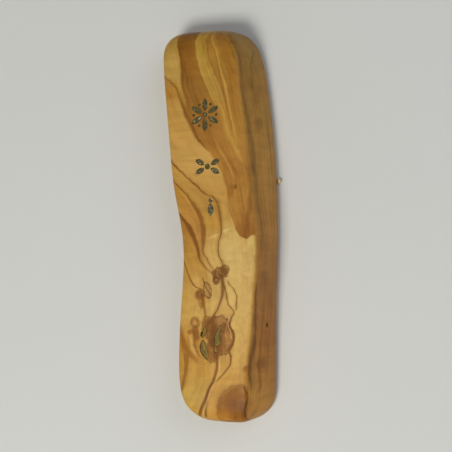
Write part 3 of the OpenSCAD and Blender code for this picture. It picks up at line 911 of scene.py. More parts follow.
@dataclass(frozen=True)
class OliveWood:
    """Oiled olive wood with drawn bands, veins and knots, and fine grain that follows them."""

    name: str = "olive_wood"
    base: tuple[tuple, ...] = (
        (100, "#ab853e"), (86, "#b3904a"), (77, "#b08a48"), (70, "#a67b3a"),
        (58, "#b38b44"), (44, "#bd9652"), (30, "#b48b46"), (18, "#b08442"),
        (8, "#ab7c38"), (-2, "#a87836"), (-14, "#b48840"), (-30, "#bb924c"),
        (-46, "#c49d56"), (-58, "#b0803a"), (-72, "#b88c42"), (-86, "#ba964b"),
        (-99, "#b58a40"))
    shear: float = 0.8       # how far the figure runs sideways for each mm into the depth
    richness: float = 1.04

    def build(self) -> bpy.types.Material:
        """Makes the material."""
        g = WoodGraph(self.name)
        x, y, z = g.place()
        here = g.vector(x, y, z)
        slow = g.drawn((x, y, z), (0.07, 0.07, 0.04), 2, 0.5)
        quick = g.drawn((x, y, z), (0.35, 0.3, 0.22), 3, 0.55)
        deep = g.times(g.maths("MAXIMUM", g.plus(y, 21.0), 0.0), g.step(x, 8.0, -6.0))
        moved = g.scaled(deep, -self.shear, x)
        moved = g.plus(moved, g.scaled(slow, 2.4, -1.2))
        moved = g.plus(moved, g.scaled(quick, 1.1, -0.55))
        high = g.plus(z, g.scaled(quick, 1.6, -0.8))
        share = g.height_share(high)
        spot = Spot(moved, high, share, here)

        colour = g.colour_run(share, self.base).outputs[0]
        lines = [g.guide(share, band.edge) for band in BANDS[:8]]
        flow = self._flow(g, moved, lines)
        # Lays the bands and the patches, two of which are painted sheen.
        colour = layered(g, colour, spot, BANDS + PATCHES_AND_PAINTED_SHEEN)
        parts = g.node("ShaderNodeSeparateColor")
        g.join(colour, parts.inputs[0])
        calm = g.scaled(g.step(parts.outputs[0], 0.58, 0.3), 0.7, 0.3)
        colour = g.mix(calm, colour, self._streaks(g, flow, y, z), "MULTIPLY")
        colour = layered(g, colour, spot, VEINS)
        side_share = g.height_share(z)
        off_crest = g.less(x, g.guide(side_share, SIDE.edge))
        on_side = g.step(off_crest, -SIDE.blur, SIDE.blur + 0.4)
        colour = g.mix(on_side, colour, self._side(g, side_share, x, y, z))
        # Lays the side's grain marks and the painted shade along the crest.
        colour = layered(g, colour, spot, SIDE_MARKS_AND_CREST_SHADE)
        colour = self._pores_and_painted_sheen(g, colour, flow, y, z)
        rich = g.node("ShaderNodeHueSaturation")
        rich.inputs["Saturation"].default_value = self.richness
        g.join(colour, rich.inputs["Color"])
        pores = g.drawn((flow, y, z), (9.0, 2.0, 0.45), 3, 0.6)
        gloss = g.scaled(pores, 0.2, 0.42)
        relief = g.bump(pores, 0.05, 0.35)
        return g.surface(Base_Color=rich.outputs[0], Roughness=gloss, Normal=relief,
                         Specular_IOR_Level=0.26)

    def _flow(self, g: WoodGraph, moved: Socket, lines: Sequence[Socket]) -> Outlet:
        """A number that is constant along the grain and rises across it.

        Args:
            g: the node tree.
            moved: the sideways place.
            lines: the bands' edge lines.

        Returns:
            The flow number, in millimetres on average.
        """
        left = g.less(moved, lines[0])
        total = g.times(g.maths("MINIMUM", left, 0.0), 0.2)
        for here, after in zip(lines, lines[1:]):
            gap = g.maths("MAXIMUM", g.less(after, here), 0.8)
            part = g.maths("DIVIDE", g.less(moved, here), gap, clamp=True)
            total = g.plus(total, part)
        right = g.maths("MAXIMUM", g.less(moved, lines[-1]), 0.0)
        return g.scaled(right, 0.2, total)

    def _streaks(self, g: WoodGraph, flow: Socket, y: Socket, z: Socket) -> Outlet:
        """Fine light and dark streaks along the grain, to multiply a colour by."""
        broad = g.drawn((flow, y, z), (2.2, 0.15, 0.012), 3, 0.55)
        fine = g.drawn((flow, y, z), (8.0, 0.5, 0.03), 4, 0.6)
        both = g.plus(g.times(broad, 0.6), g.times(fine, 0.4))
        return g.ramp(both, ((0.34, (0.66, 0.57, 0.44, 1)), (0.45, (0.91, 0.87, 0.8, 1)),
                             (0.54, (1.02, 1.03, 1.02, 1)),
                             (0.66, (1.14, 1.18, 1.22, 1)))).outputs[0]

    def _side(self, g: WoodGraph, share: Socket, x: Socket, y: Socket, z: Socket) -> Outlet:
        """The quieter, darker wood of the right side, streaked up and down."""
        run = g.colour_run(share, SIDE.colours).outputs[0]
        depth = g.scaled(x, -0.45, y)
        sway = g.scaled(g.drawn((x, y, z), (0.05, 0.05, 0.03), 2), 7.0, depth)
        broad = g.noise(g.vector(g.times(sway, 0.22), 3.0, g.times(z, 0.012)), 1.0, 3, 0.6)
        fine = g.noise(g.vector(g.times(sway, 1.1), 7.0, g.times(z, 0.035)), 1.0, 4, 0.62)
        both = g.plus(g.times(broad, 0.5), g.times(fine, 0.5))
        shade = g.ramp(both, ((0.34, (0.66, 0.58, 0.48, 1)), (0.47, (0.95, 0.92, 0.88, 1)),
                              (0.55, (1.06, 1.05, 1.02, 1)), (0.68, (1.24, 1.26, 1.3, 1))))
        return g.mix(1.0, run, shade.outputs[0], "MULTIPLY")

    def _pores_and_painted_sheen(self, g: WoodGraph, colour: Socket, flow: Socket, y: Socket, z: Socket) -> Outlet:
        """Adds short dark pores along the grain, and painted sheen across it: a faint light and
        dark shimmer that stands in for chatoyance.
        """
        dash = g.drawn((flow, y, z), (16.0, 2.4, 0.32), 2, 0.5)
        colour = g.mix(g.times(g.step(dash, 0.62, 0.72), 0.22), colour, tint("#7a5220"))
        # Painted sheen: pale and dark ripples across the grain stand in for light shimmering off
        # the figure.
        sheen_ripple = g.drawn((flow, y, z), (0.7, 0.05, 0.22), 3, 0.5, 0.8)
        painted_sheen = g.ramp(sheen_ripple, ((0.38, (0.93, 0.92, 0.9, 1)), (0.5, (1, 1, 1, 1)),
                               (0.64, (1.07, 1.07, 1.08, 1))))
        return g.mix(1.0, colour, painted_sheen.outputs[0], "MULTIPLY")


@dataclass(frozen=True)
class PlainWood:
    """Straight-grained sanded wood, for the tray and the dowels."""

    name: str
    light: str
    dark: str
    pitch: float = 1.4

    def build(self) -> bpy.types.Material:
        """Makes the material."""
        g = Graph(self.name)
        x, y, z = g.place()
        sway = g.drawn((x, y, z), (0.05, 0.05, 0.02), 2)
        across = g.scaled(sway, 6.0, g.plus(x, y))
        rings = g.noise(g.vector(g.times(across, self.pitch * 0.5), 0.0,
                                 g.times(z, 0.015)), 1.0, 4, 0.6)
        fine = g.noise(g.vector(g.times(across, self.pitch * 3), y, g.times(z, 0.1)), 1.0, 3, 0.6)
        colour = g.ramp(rings, ((0.32, tint(self.dark)), (0.6, tint(self.light)))).outputs[0]
        colour = g.mix(g.step(fine, 0.58, 0.75), colour, tint(self.dark))
        return g.surface(Base_Color=colour, Roughness=g.scaled(fine, 0.2, 0.45),
                         Normal=g.bump(fine, 0.06, 0.5), Specular_IOR_Level=0.35)


@dataclass(frozen=True)
class StoneInlay:
    """Crushed olive-green stone in clear binder, ground nearly flush."""

    name: str = "stone_inlay"
    grain: float = 1.7

    def build(self) -> bpy.types.Material:
        """Makes the material."""
        g = Graph(self.name)
        x, y, z = g.place()
        here = g.vector(x, y, z)
        grains = g.cells(here, self.grain)
        pick = g.node("ShaderNodeSeparateColor")
        g.join(grains.outputs["Color"], pick.inputs[0])
        colour = g.ramp(pick.outputs[0], (
            (0.0, tint("#3a340f")), (0.34, tint("#4d4519")), (0.68, tint("#5e5425")),
            (0.86, tint("#706736")), (0.96, tint("#8f8a62")), (1.0, tint("#c6c2ac")))).outputs[0]
        edge = g.cells(here, self.grain, "DISTANCE_TO_EDGE").outputs["Distance"]
        colour = g.mix(g.step(edge, 0.1, 0.0), colour, tint("#2a260c"))
        dust = g.noise(here, 3.0, 3, 0.6)
        colour = g.mix(g.step(dust, 0.64, 0.78), colour, tint("#7f7a4c"))
        relief = g.bump(edge, 0.14, 0.8)
        return g.surface(Base_Color=colour, Roughness=g.scaled(dust, 0.35, 0.12),
                         Normal=relief, Specular_IOR_Level=0.6)


@dataclass(frozen=True)
class KnotResin:
    """Cloudy amber resin poured into a crack."""

    name: str = "amber_resin"

    def build(self) -> bpy.types.Material:
        """Makes the material."""
        g = Graph(self.name)
        x, y, z = g.place()
        cloud = g.drawn((x, y, z), (0.5, 0.5, 0.22), 3, 0.6)
        colour = g.ramp(cloud, ((0.3, tint("#4d3e10")), (0.48, tint("#775f1b")),
                                (0.62, tint("#8f7325")), (0.75, tint("#665a1e")))).outputs[0]
        speck = g.noise(g.vector(x, y, z), 2.6, 2, 0.5)
        colour = g.mix(g.step(speck, 0.63, 0.7), colour, tint("#3c3412"))
        return g.surface(Base_Color=colour, Roughness=g.scaled(cloud, 0.2, 0.16),
                         Normal=g.bump(cloud, 0.1, 0.4), Coat_Weight=0.4, Coat_Roughness=0.08)


@dataclass(frozen=True)
class SoftAdhesive:
    """Milky, slightly yellow foam adhesive."""

    name: str = "adhesive"

    def build(self) -> bpy.types.Material:
        """Makes the material."""
        g = Graph(self.name)
        x, y, z = g.place()
        foam = g.noise(g.vector(x, y, z), 1.6, 3, 0.6)
        colour = g.ramp(foam, ((0.3, tint("#a99d6c")), (0.7, tint("#cfc59c")))).outputs[0]
        return g.surface(Base_Color=colour, Roughness=g.scaled(foam, 0.2, 0.3),
                         Normal=g.bump(foam, 0.1, 0.5), Subsurface_Weight=0.25,
                         Subsurface_Scale=0.002)


@dataclass(frozen=True)
class WorkedMetal:
    """Metal with fine scratches one way and light tarnish."""

    name: str
    colour: str
    tarnish: str
    rough: float
    scratch: Point3 = (0.4, 6.0, 6.0)

    def build(self) -> bpy.types.Material:
        """Makes the material."""
        g = Graph(self.name)
        x, y, z = g.place()
        lines = g.drawn((x, y, z), self.scratch, 3, 0.6)
        dull = g.noise(g.vector(x, y, z), 0.25, 4, 0.6)
        colour = g.mix(g.step(dull, 0.5, 0.72), tint(self.colour), tint(self.tarnish))
        gloss = g.plus(g.times(lines, 0.22), self.rough - 0.06)
        return g.surface(Base_Color=colour, Roughness=gloss, Metallic=1.0,
                         Normal=g.bump(lines, 0.02, 0.4))


@dataclass(frozen=True)
class Parchment:
    """Dressed calf parchment, warm and faintly veined."""

    name: str = "parchment"

    def build(self) -> bpy.types.Material:
        """Makes the material."""
        g = Graph(self.name)
        x, y, z = g.place()
        cloud = g.drawn((x, y, z), (0.08, 0.08, 0.05), 4, 0.6)
        nap = g.noise(g.vector(x, y, z), 2.4, 3, 0.6)
        colour = g.ramp(cloud, ((0.3, tint("#c9b384")), (0.55, tint("#dccba2")),
                                (0.7, tint("#e6dabb")))).outputs[0]
        colour = g.mix(g.step(nap, 0.6, 0.75), colour, tint("#bfa878"))
        return g.surface(Base_Color=colour, Roughness=g.scaled(nap, 0.2, 0.55),
                         Normal=g.bump(nap, 0.05, 0.5), Specular_IOR_Level=0.25)


@dataclass(frozen=True)
class ClearFilm:
    """Thin clear film wound round the scroll."""

    name: str = "clear_film"

    def build(self) -> bpy.types.Material:
        """Makes the material."""
        g = Graph(self.name)
        x, y, z = g.place()
        haze = g.drawn((x, y, z), (0.2, 0.2, 0.05), 3, 0.6)
        colour = g.mix(haze, tint("#e4ecea"), tint("#f6f8f4"))
        return g.surface(Base_Color=colour, Alpha=0.22, Roughness=g.scaled(haze, 0.15, 0.05),
                         Normal=g.bump(haze, 0.08, 0.4), Specular_IOR_Level=0.6)


@dataclass(frozen=True)
class CottonTape:
    """Woven cotton tape."""

    name: str = "cotton_tape"
    threads: float = 2.6     # threads to the millimetre up the tape

    def build(self) -> bpy.types.Material:
        """Makes the material."""
        g = Graph(self.name)
        x, y, z = g.place()
        round_it = g.maths("ARCTAN2", g.plus(y, 10.3), g.plus(x, 1.0))
        warp = g.maths("SINE", g.times(round_it, 100.0))
        weft = g.maths("SINE", g.times(z, self.threads * math.tau))
        weave = g.scaled(g.times(warp, weft), 0.5, 0.5)
        colour = g.mix(weave, tint("#c9bfa6"), tint("#efe9da"))
        return g.surface(Base_Color=colour, Roughness=0.85, Normal=g.bump(weave, 0.08, 0.8),
                         Sheen_Weight=0.3)


class Finish(Enum):
    """The finishes, each under the record's slot that it dresses."""

    OLIVE_WOOD = OliveWood()
    TRAY_WOOD = PlainWood("tray_wood", "#b98d4b", "#84592a")
    DOWEL_WOOD = PlainWood("dowel_wood", "#d2b27c", "#a67f48", 2.2)
    STONE_INLAY = StoneInlay()
    AMBER_RESIN = KnotResin()
    ADHESIVE = SoftAdhesive()
    BRASS_PLATE = WorkedMetal("brass_plate", "#c79a4a", "#8f6a30", 0.34, (6.0, 6.0, 0.4))
    SCREW_STEEL = WorkedMetal("screw_steel", "#b9bbbe", "#8b8d90", 0.3)
    MAGNET_PLATING = WorkedMetal("magnet_plating", "#c9cacd", "#9fa1a4", 0.16)
    PARCHMENT = Parchment()
    CLEAR_FILM = ClearFilm()
    COTTON_TAPE = CottonTape()

    def material(self) -> bpy.types.Material:
        """Makes the finish's material once, and gives the same one after that."""
        made = bpy.data.materials.get(self.value.name + MADE)
        return made or self.value.build()


def dress(piece: Piece, name: str, finish: Finish, body: str, *stands_for: str) -> Piece:
    """Names a finished piece, gives it its material and hangs it on its body.

    Args:
        piece: the finished piece.
        name: its name.
        finish: its finish.
        body: the body that it rides on.
        stands_for: the nodes that it replaces.

    Returns:
        The piece.
    """
    deselect_all()
    piece.name = name
    piece.data.name = name
    piece.data.materials.clear()
    piece.data.materials.append(finish.material())
    for polygon in piece.data.polygons:
        polygon.material_index = 0
    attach(piece, body)
    if stands_for:
        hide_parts(*stands_for)
    LOG.info("%s: %d faces, %s", name, len(piece.data.polygons), finish.value.name)
    return piece


# ---------------------------------------------------------------- the carved block

@dataclass(frozen=True)
class Station:
    """One cross-section of the carved block's cage."""

    height: float
    arris: float          # sideways place of the left front edge
    crest: float          # sideways place of the front's highest line
    edge: float           # sideways place of the back's right edge
    arris_depth: float
    crest_depth: float

    def ring(self) -> list[Vector]:
        """The cage's twelve points, from the back left, over the front, to the back right."""
        past_back = 8.0
        flare = 2.5
        swell = 0.6

        def between(a: float, b: float, share: float) -> float:
            """A value part of the way from a to b."""
            return a + (b - a) * share

        low, high = self.arris_depth, self.crest_depth
        spots = (
            (self.arris - flare, past_back),
            (self.arris - flare + 0.4, -0.26 * low),
            (self.arris - 0.5, -0.78 * low),
            (self.arris, -low),
            (self.arris + 5, -between(low, high, 0.13) - 0.5),
            (between(self.arris, self.crest, 0.4), -between(low, high, 0.4) - swell),
            (between(self.arris, self.crest, 0.7), -between(low, high, 0.7) - swell),
            (self.crest - 4, -high - 0.1),
            (self.crest, -high),
            (self.crest + 1.2, -0.83 * high),
            (self.edge - 0.8, -0.31 * high),
            (self.edge, past_back),
        )
        return [Vector((x, y, self.height)) * MM for x, y in spots]


@dataclass
class CarvedBlock:
    """The solid block before anything is cut in it."""

    stations: tuple[Station, ...] = (
        Station(-99.4, -6, 9, 11.5, 15, 16),
        Station(-97.4, -12.5, 13, 17.5, 20.5, 22.5),
        Station(-91, -20, 15.2, 24, 22.5, 25.5),
        Station(-81, -22.6, 15.3, 24.4, 23, 26),
        Station(-67, -22.8, 15.2, 24.4, 23, 26.5),
        Station(-50, -22.2, 17, 24.4, 23, 27),
        Station(-32, -20.9, 19.2, 24.5, 23, 27.5),
        Station(-14, -19.7, 20.3, 25.4, 23, 27.5),
        Station(2, -21.6, 19.2, 25.4, 23, 27.5),
        Station(18, -25.6, 17.2, 25.1, 23, 27),
        Station(36, -27.4, 15, 24, 23, 26.5),
        Station(54, -29.1, 13.2, 22.3, 22.5, 26),
        Station(70, -30.6, 11.4, 20.1, 22.5, 25.5),
        Station(82, -31.6, 10, 18.2, 22, 24.5),
        Station(92, -32, 8, 14.8, 21, 22.5),
        Station(98.3, -26.8, 3, 8.5, 17, 18),
        Station(100, -20, -1, 3, 12, 12.5),
    )
    smoothing: int = 4       # how often the cage is subdivided
    cap_share: float = 0.5   # size of the last ring, on each end's face
    rim_width: float = 0.5   # how far the back's sharp edge is broken inwards
    rim_height: float = 0.3  # and how far forwards

    def _nudge_ring(self, piece: Piece, old: list[Vector], new: list[Vector]) -> None:
        """Moves each point of the newest ring from its old place to its new one.

        Args:
            piece: the cage in edit mode, with the ring selected.
            old: where the ring's points are.
            new: where they go.
        """
        mesh = bmesh.from_edit_mesh(piece.data)
        ring = [point for point in mesh.verts if point.select]
        order = [min(ring, key=lambda p: (p.co - spot).length).index for spot in old]
        for index, spot in zip(order, new):
            mesh = bmesh.from_edit_mesh(piece.data)
            mesh.verts.ensure_lookup_table()
            for point in mesh.verts:
                point.select = point.index == index
            mesh.select_flush_mode()
            bpy.ops.transform.translate(value=spot - mesh.verts[index].co)
        pick_points(piece, lambda co: any((co - spot).length < 1e-6 for spot in new))

    def _close_end(self, piece: Piece, ring: list[Vector]) -> None:
        """Draws the selected ring in on itself and closes it at its middle.

        Args:
            piece: the cage in edit mode, with the ring selected; not used.
            ring: the ring's points.
        """
        middle = sum(ring, Vector()) / len(ring)
        bpy.ops.mesh.extrude_edges_move()
        bpy.ops.transform.resize(value=(self.cap_share,) * 3, center_override=middle)
        bpy.ops.mesh.extrude_edges_move()
        bpy.ops.transform.resize(value=(0.01,) * 3, center_override=middle)
        bpy.ops.mesh.merge(type="CENTER")

    def build(self) -> Piece:
        """Carves the block: a ring drawn up from station to station, then smoothed and planed."""
        rings = [station.ring() for station in self.stations]
        deselect_all()
        bpy.ops.mesh.primitive_circle_add(vertices=len(rings[0]), radius=20 * MM,
                                          fill_type="NOTHING")
        piece = bpy.context.object
        open_mesh(piece)
        mesh = bmesh.from_edit_mesh(piece.data)
        for point in mesh.verts:
            point.select = True
        start = [point.co.copy() for point in mesh.verts]
        turn = 1 if start[0].cross(start[1]).z > 0 else -1
        self._nudge_ring(piece, start[::turn], rings[0])
        for before, after in zip(rings, rings[1:]):
            bpy.ops.mesh.extrude_edges_move()
            self._nudge_ring(piece, before, after)
        self._close_end(piece, rings[-1])
        pick_points(piece, lambda co: any((co - spot).length < 1e-6 for spot in rings[0]))
        self._close_end(piece, rings[0])
        pick_all()
        bpy.ops.mesh.normals_make_consistent(inside=False)
        close_mesh()
        modify(piece, "SUBSURF", levels=self.smoothing, render_levels=self.smoothing)
        open_mesh(piece)
        saw((0, -self.rim_height, 0), (0, 1, 0))
        pick_faces(piece, lambda middle, normal: normal.y > 0.99
                   and middle.y > -1.1 * self.rim_height * MM)
        for share in (0.35, 0.65):
            bpy.ops.mesh.inset(thickness=self.rim_width * share * MM,
                               depth=self.rim_height * (1 - share) * MM)
        close_mesh()
        return piece


def cropped(block: Piece, low: Point3, high: Point3) -> Piece:
    """Saws a copy of the block down to what lies between two corners.

    Args:
        block: the block.
        low: the lowest corner in millimetres.
        high: the highest corner.

    Returns:
        The sawn piece, closed.
    """
    piece = copy_of(block)
    open_mesh(piece)
    for axis in range(3):
        for corner, sign in ((low, -1), (high, 1)):
            saw(corner, [sign * (i == axis) for i in range(3)])
    close_mesh()
    return piece


# ---------------------------------------------------------------- studio

@dataclass
class Studio:
    """The wall, the floor, the lights and the camera."""

    wall_behind: float = 0.45       # the wall's distance behind the back plane
    floor_level: float = -900.0
    camera_at: Point3 = (181.0, -570.6, 0.0)
    camera_turn: float = 18.0
    lens: float = 91.7

    def _plane(self, name: str, size: float, at: Point3, turn: Point3) -> Piece:
        """Adds a flat stage panel.

        Args:
            name: its name.
            size: its side in millimetres.
            at: its middle in millimetres.
            turn: its turn in degrees.

        Returns:
            The panel.
        """
        deselect_all()
        bpy.ops.mesh.primitive_plane_add(size=size * MM, location=[c * MM for c in at],
                                         rotation=[math.radians(a) for a in turn])
        panel = bpy.context.object
        panel.name = name
        return panel

    def _paint(self) -> bpy.types.Material:
        """Matt pale wall paint, seen only from its front, that lets light from behind through."""
        g = Graph("wall_paint")
        x, y, z = g.place()
        mottle = g.noise(g.vector(x, y, z), 0.006, 3, 0.5)
        nap = g.noise(g.vector(x, y, z), 0.5, 3, 0.6)
        colour = g.mix(mottle, tint("#c9ccca"), tint("#cecfcb"))
        g.surface(Base_Color=colour, Roughness=0.9, Normal=g.bump(nap, 0.2, 0.15),
                  Specular_IOR_Level=0.1)
        clear = g.node("ShaderNodeBsdfTransparent")
        either = g.node("ShaderNodeMixShader")
        side = g.node("ShaderNodeNewGeometry")
        path = g.node("ShaderNodeLightPath")
        g.join(g.maths("MAXIMUM", side.outputs["Backfacing"], path.outputs["Is Shadow Ray"]),
               either.inputs[0])
        g.join(g.shader.outputs[0], either.inputs[1])
        g.join(clear.outputs[0], either.inputs[2])
        g.join(either.outputs[0], g.output.inputs["Surface"])
        return g.material

    def _lamp(self, name: str, at: Point3, power: float, size: float, colour: str) -> None:
        """Adds a soft square lamp that shines at the case.

        Args:
            name: its name.
            at: its place in millimetres.
            power: its power in watts.
            size: its side in millimetres.
            colour: its colour.
        """
        deselect_all()
        place = Vector(at) * MM
        bpy.ops.object.light_add(type="AREA", location=place,
                                 rotation=(-place).to_track_quat("-Z", "Y").to_euler())
        lamp = bpy.context.object
        lamp.name = name
        lamp.data.energy = power
        lamp.data.size = size * MM
        lamp.data.color = tint(colour)[:3]

    def build(self) -> None:
        """Sets up the stage."""
        wall = self._plane("wall", 3000, (0, self.wall_behind, 0), (90, 0, 0))
        floor = self._plane("floor", 3000, (0, 0, self.floor_level), (0, 0, 0))
        paint = self._paint()
        wall.data.materials.append(paint)
        floor.data.materials.append(paint)
        self._lamp("key", (-190, -1150, -560), 11, 420, "#fffaf2")
        self._lamp("fill", (900, -900, 500), 4, 900, "#f2f5ff")
        self._lamp("back_fill", (-700, 900, 500), 9, 900, "#f6f7ff")
        world = bpy.data.worlds.new("room")
        world.use_nodes = True
        sky = world.node_tree.nodes["Background"]
        sky.inputs["Color"].default_value = tint("#eceef2")
        sky.inputs["Strength"].default_value = 0.3
        bpy.context.scene.world = world
        deselect_all()
        bpy.ops.object.camera_add(location=[c * MM for c in self.camera_at],
                                  rotation=(math.radians(90), 0, math.radians(self.camera_turn)))
        camera = bpy.context.object
        camera.name = "camera"
        camera.data.lens = self.lens
        camera.data.sensor_width = 36
        camera.data.clip_start = 0.01
        bpy.context.scene.camera = camera
        bpy.context.scene.view_settings.view_transform = "Standard"
        LOG.info("studio ready")


# ---------------------------------------------------------------- ornaments and knot fills

class Motif(Enum):
    """The inlaid ornaments."""

    ROSETTE = "upper_ornament"
    LEAF_PAIRS = "middle_ornament"
    BUD = "lower_ornament"


def _face_rod(radius: float, at: Point2, depth: float, rise: float, sides: int = 72) -> Piece:
    """A rod standing on the front's own plane, where z points out of the wood."""
    return rod(radius, (at[0], at[1], -depth), (at[0], at[1], rise), sides)


def _leaf(length: float, width: float, at: Point2, turn: float, depth: float,
          rise: float) -> Piece:
    """A pointed leaf on the front's own plane: what two rods share, turned about the middle.

    Args:
        length: from tip to tip.
        width: across its middle.
        at: the place of its lower tip before it is turned.
        turn: its turn about the motif's middle, in degrees.
        depth: how far it goes into the wood.
        rise: how far it stands out of the wood.

    Returns:
        The leaf.
    """
    radius = (length ** 2 / 4 + width ** 2 / 4) / width
    middle = at[1] + length / 2
    leaf = _face_rod(radius, (at[0] + radius - width / 2, middle), depth, rise, 180)
    other = _face_rod(radius, (at[0] - radius + width / 2, middle), depth - 0.2, rise + 0.2, 180)
    combine(leaf, other, "INTERSECT")
    leaf.rotation_euler = (0, 0, math.radians(turn))
    fix_place(leaf)
    return leaf


@dataclass
class Inlay:
    """One inlaid shape: the recess that is cut for it and the piece that fills it."""

    at: Point2
    front: float
    depth: float
    tilt: float = -5.7
    rise: float = 6.0
    sink: float = 0.16       # how far the fill lies below the wood
    gap: float = 0.09        # shadow gap round the fill
    reach: float = 14.0      # half the width of the slab that a fill is cut from
    slab: Point2 = (-40.0, -15.0)   # the slab's front and back

    def stand_up(self, parts: Sequence[Piece]) -> Piece:
        """Joins parts drawn on the front's own plane and stands them against the front.

        Args:
            parts: the parts.

        Returns:
            The tool.
        """
        tool = joined(parts)
        tool.matrix_world = (
            Matrix.Translation(Vector((self.at[0], self.front, self.at[1])) * MM)
            @ Matrix.Rotation(math.radians(self.tilt), 4, "Z")
            @ Matrix.Rotation(math.radians(90), 4, "X"))
        fix_place(tool)
        return tool

    def filled(self, block: Piece, tool: Piece) -> Piece:
        """The fill: the block's own front, sunk a little, within the tool's outline.

        Args:
            block: the carved block.
            tool: the fill's outline as a solid, which is used up.

        Returns:
            The fill.
        """
        reach = self.reach
        slab = cropped(block, (self.at[0] - reach, self.slab[0], self.at[1] - reach),
                       (self.at[0] + reach, self.slab[1], self.at[1] + reach))
        slab.location = (0, self.sink * MM, 0)
        fix_place(slab)
        combine(slab, tool, "INTERSECT")
        bevel_sharp(slab, 0.07, 1, 50)
        smooth(slab, 30)
        return slab


@dataclass
class Ornament(Inlay):
    """One of the three green inlays."""

    motif: Motif = Motif.ROSETTE
    radius: float = 8.5

    def parts(self, gap: float) -> list[Piece]:
        """The motif's solids on the front's own plane.

        Args:
            gap: how much smaller than the recess they are, all round.

        Returns:
            The solids.
        """
        deep, rise = self.depth, self.rise
        if self.motif is Motif.ROSETTE:
            made = [_face_rod(self.radius * 0.15 - gap, (0, 0), deep, rise)]
            for i in range(6):
                made.append(_leaf(self.radius * 0.78 - 2 * gap, self.radius * 0.34 - 2 * gap,
                                  (0, self.radius * 0.22 + gap), i * 60, deep, rise))
                turn = math.radians(i * 60 + 30)
                away = self.radius * 0.72
                spot = (-math.sin(turn) * away, math.cos(turn) * away)
                made.append(_face_rod(self.radius * 0.09 - gap, spot, deep, rise, 32))
            return made
        if self.motif is Motif.LEAF_PAIRS:
            made = [_face_rod(1.5 - gap, (0, 0), deep, rise)]
            for turn in (62, -62, 118, -118):
                made.append(_leaf(5.6 - 2 * gap, 2.8 - 2 * gap, (0, 1.9 + gap), turn, deep, rise))
            return made
        return [_leaf(6.6 - 2 * gap, 3.2 - 2 * gap, (0, -4.5 + gap), 0, deep, rise),
                _face_rod(1.1 - gap, (0, 3.3), deep, rise)]

    def cutter(self) -> Piece:
        """The solid that cuts the recess."""
        return self.stand_up(self.parts(0.0))

    def build(self, block: Piece) -> Piece:
        """Makes the fill from the block's own front."""
        tool = self.stand_up(self.parts(self.gap))
        name = self.motif.value
        return dress(self.filled(block, tool), name + "_stone", Finish.STONE_INLAY, "case", name)


@dataclass
class KnotFill(Inlay):
    """Resin in one crack of the knot."""

    gap: float = 0.34
    node: str = ""
    outline: tuple[Point2, ...] = ()

    def _prism(self, gap: float) -> Piece:
        """The crack's outline, rounded and drawn out into a solid.

        Args:
            gap: how much smaller than the crack it is.

        Returns:
            The solid, against the front.
        """
        deselect_all()
        count = len(self.outline)
        bpy.ops.mesh.primitive_circle_add(vertices=count, radius=1 * MM, fill_type="NOTHING")
        piece = bpy.context.object
        middle = Vector((sum(p[0] for p in self.outline), sum(p[1] for p in self.outline)))
        middle = middle / count
        open_mesh(piece)
        mesh = bmesh.from_edit_mesh(piece.data)
        mesh.verts.ensure_lookup_table()
        turn = 1 if mesh.verts[0].co.cross(mesh.verts[1].co).z > 0 else -1
        for point, spot in zip(list(mesh.verts)[::turn], self.outline):
            inward = (middle - Vector(spot)).normalized() * gap
            point.co = (Vector(spot) + inward).to_3d() * MM
            point.co.z = -self.depth * MM
        bmesh.update_edit_mesh(piece.data)
        pick_all()
        bpy.ops.mesh.subdivide(number_cuts=3, smoothness=0.9)
        bpy.ops.mesh.edge_face_add()
        bpy.ops.mesh.extrude_region_move(
            TRANSFORM_OT_translate={"value": (0, 0, (self.depth + self.rise) * MM)})
        pick_all()
        bpy.ops.mesh.normals_make_consistent(inside=False)
        close_mesh()
        return self.stand_up([piece])

    def cutter(self) -> Piece:
        """The solid that opens the crack."""
        return self._prism(0.0)

    def build(self, block: Piece) -> Piece:
        """Makes the resin from the block's own front."""
        return dress(self.filled(block, self._prism(self.gap)), self.node + "_resin",
                     Finish.AMBER_RESIN, "case", self.node)


ORNAMENTS = (
    Ornament((-7.4, 55.7), -24.7, 1.2, motif=Motif.ROSETTE),
    Ornament((-5.9, 29.8), -25.3, 1.2, motif=Motif.LEAF_PAIRS),
    Ornament((-4.2, 9.5), -25.5, 1.2, motif=Motif.BUD),
)

KNOT_FILLS = (
    KnotFill((-8, -61.5), -25, 3, node="left_knot_fill", outline=(
        (-0.3, 4.6), (-1.6, 3.2), (-2.3, 1.6), (-2.2, -0.4), (-1.5, -2.4), (-0.3, -4),
        (1.1, -5.3), (2.1, -5.8), (2.4, -4.6), (2.3, -2.6), (1.6, 0.6), (0.8, 3.2))),
    KnotFill((-8.2, -53.2), -25, 3, node="upper_knot_fill", outline=(
        (1, 3.3), (0.3, 2), (-0.4, 0.6), (-1.6, -0.7), (-1.5, -2.2), (-0.3, -3),
        (1, -1.4), (1.6, 0.8))),
    KnotFill((-0.6, -55.2), -25.8, 3, node="right_knot_fill", outline=(
        (1.7, 6.1), (0.7, 4.4), (-0.6, 2.2), (-1.6, 0.2), (-1.8, -2.4), (-1.4, -4.6),
        (-1.3, -8.2), (-0.8, -8.2), (-0.6, -5), (0.4, -4.9), (1.8, -3.4), (2, 0.6),
        (1.8, 3.6))),
)


# ---------------------------------------------------------------- the case and its tray

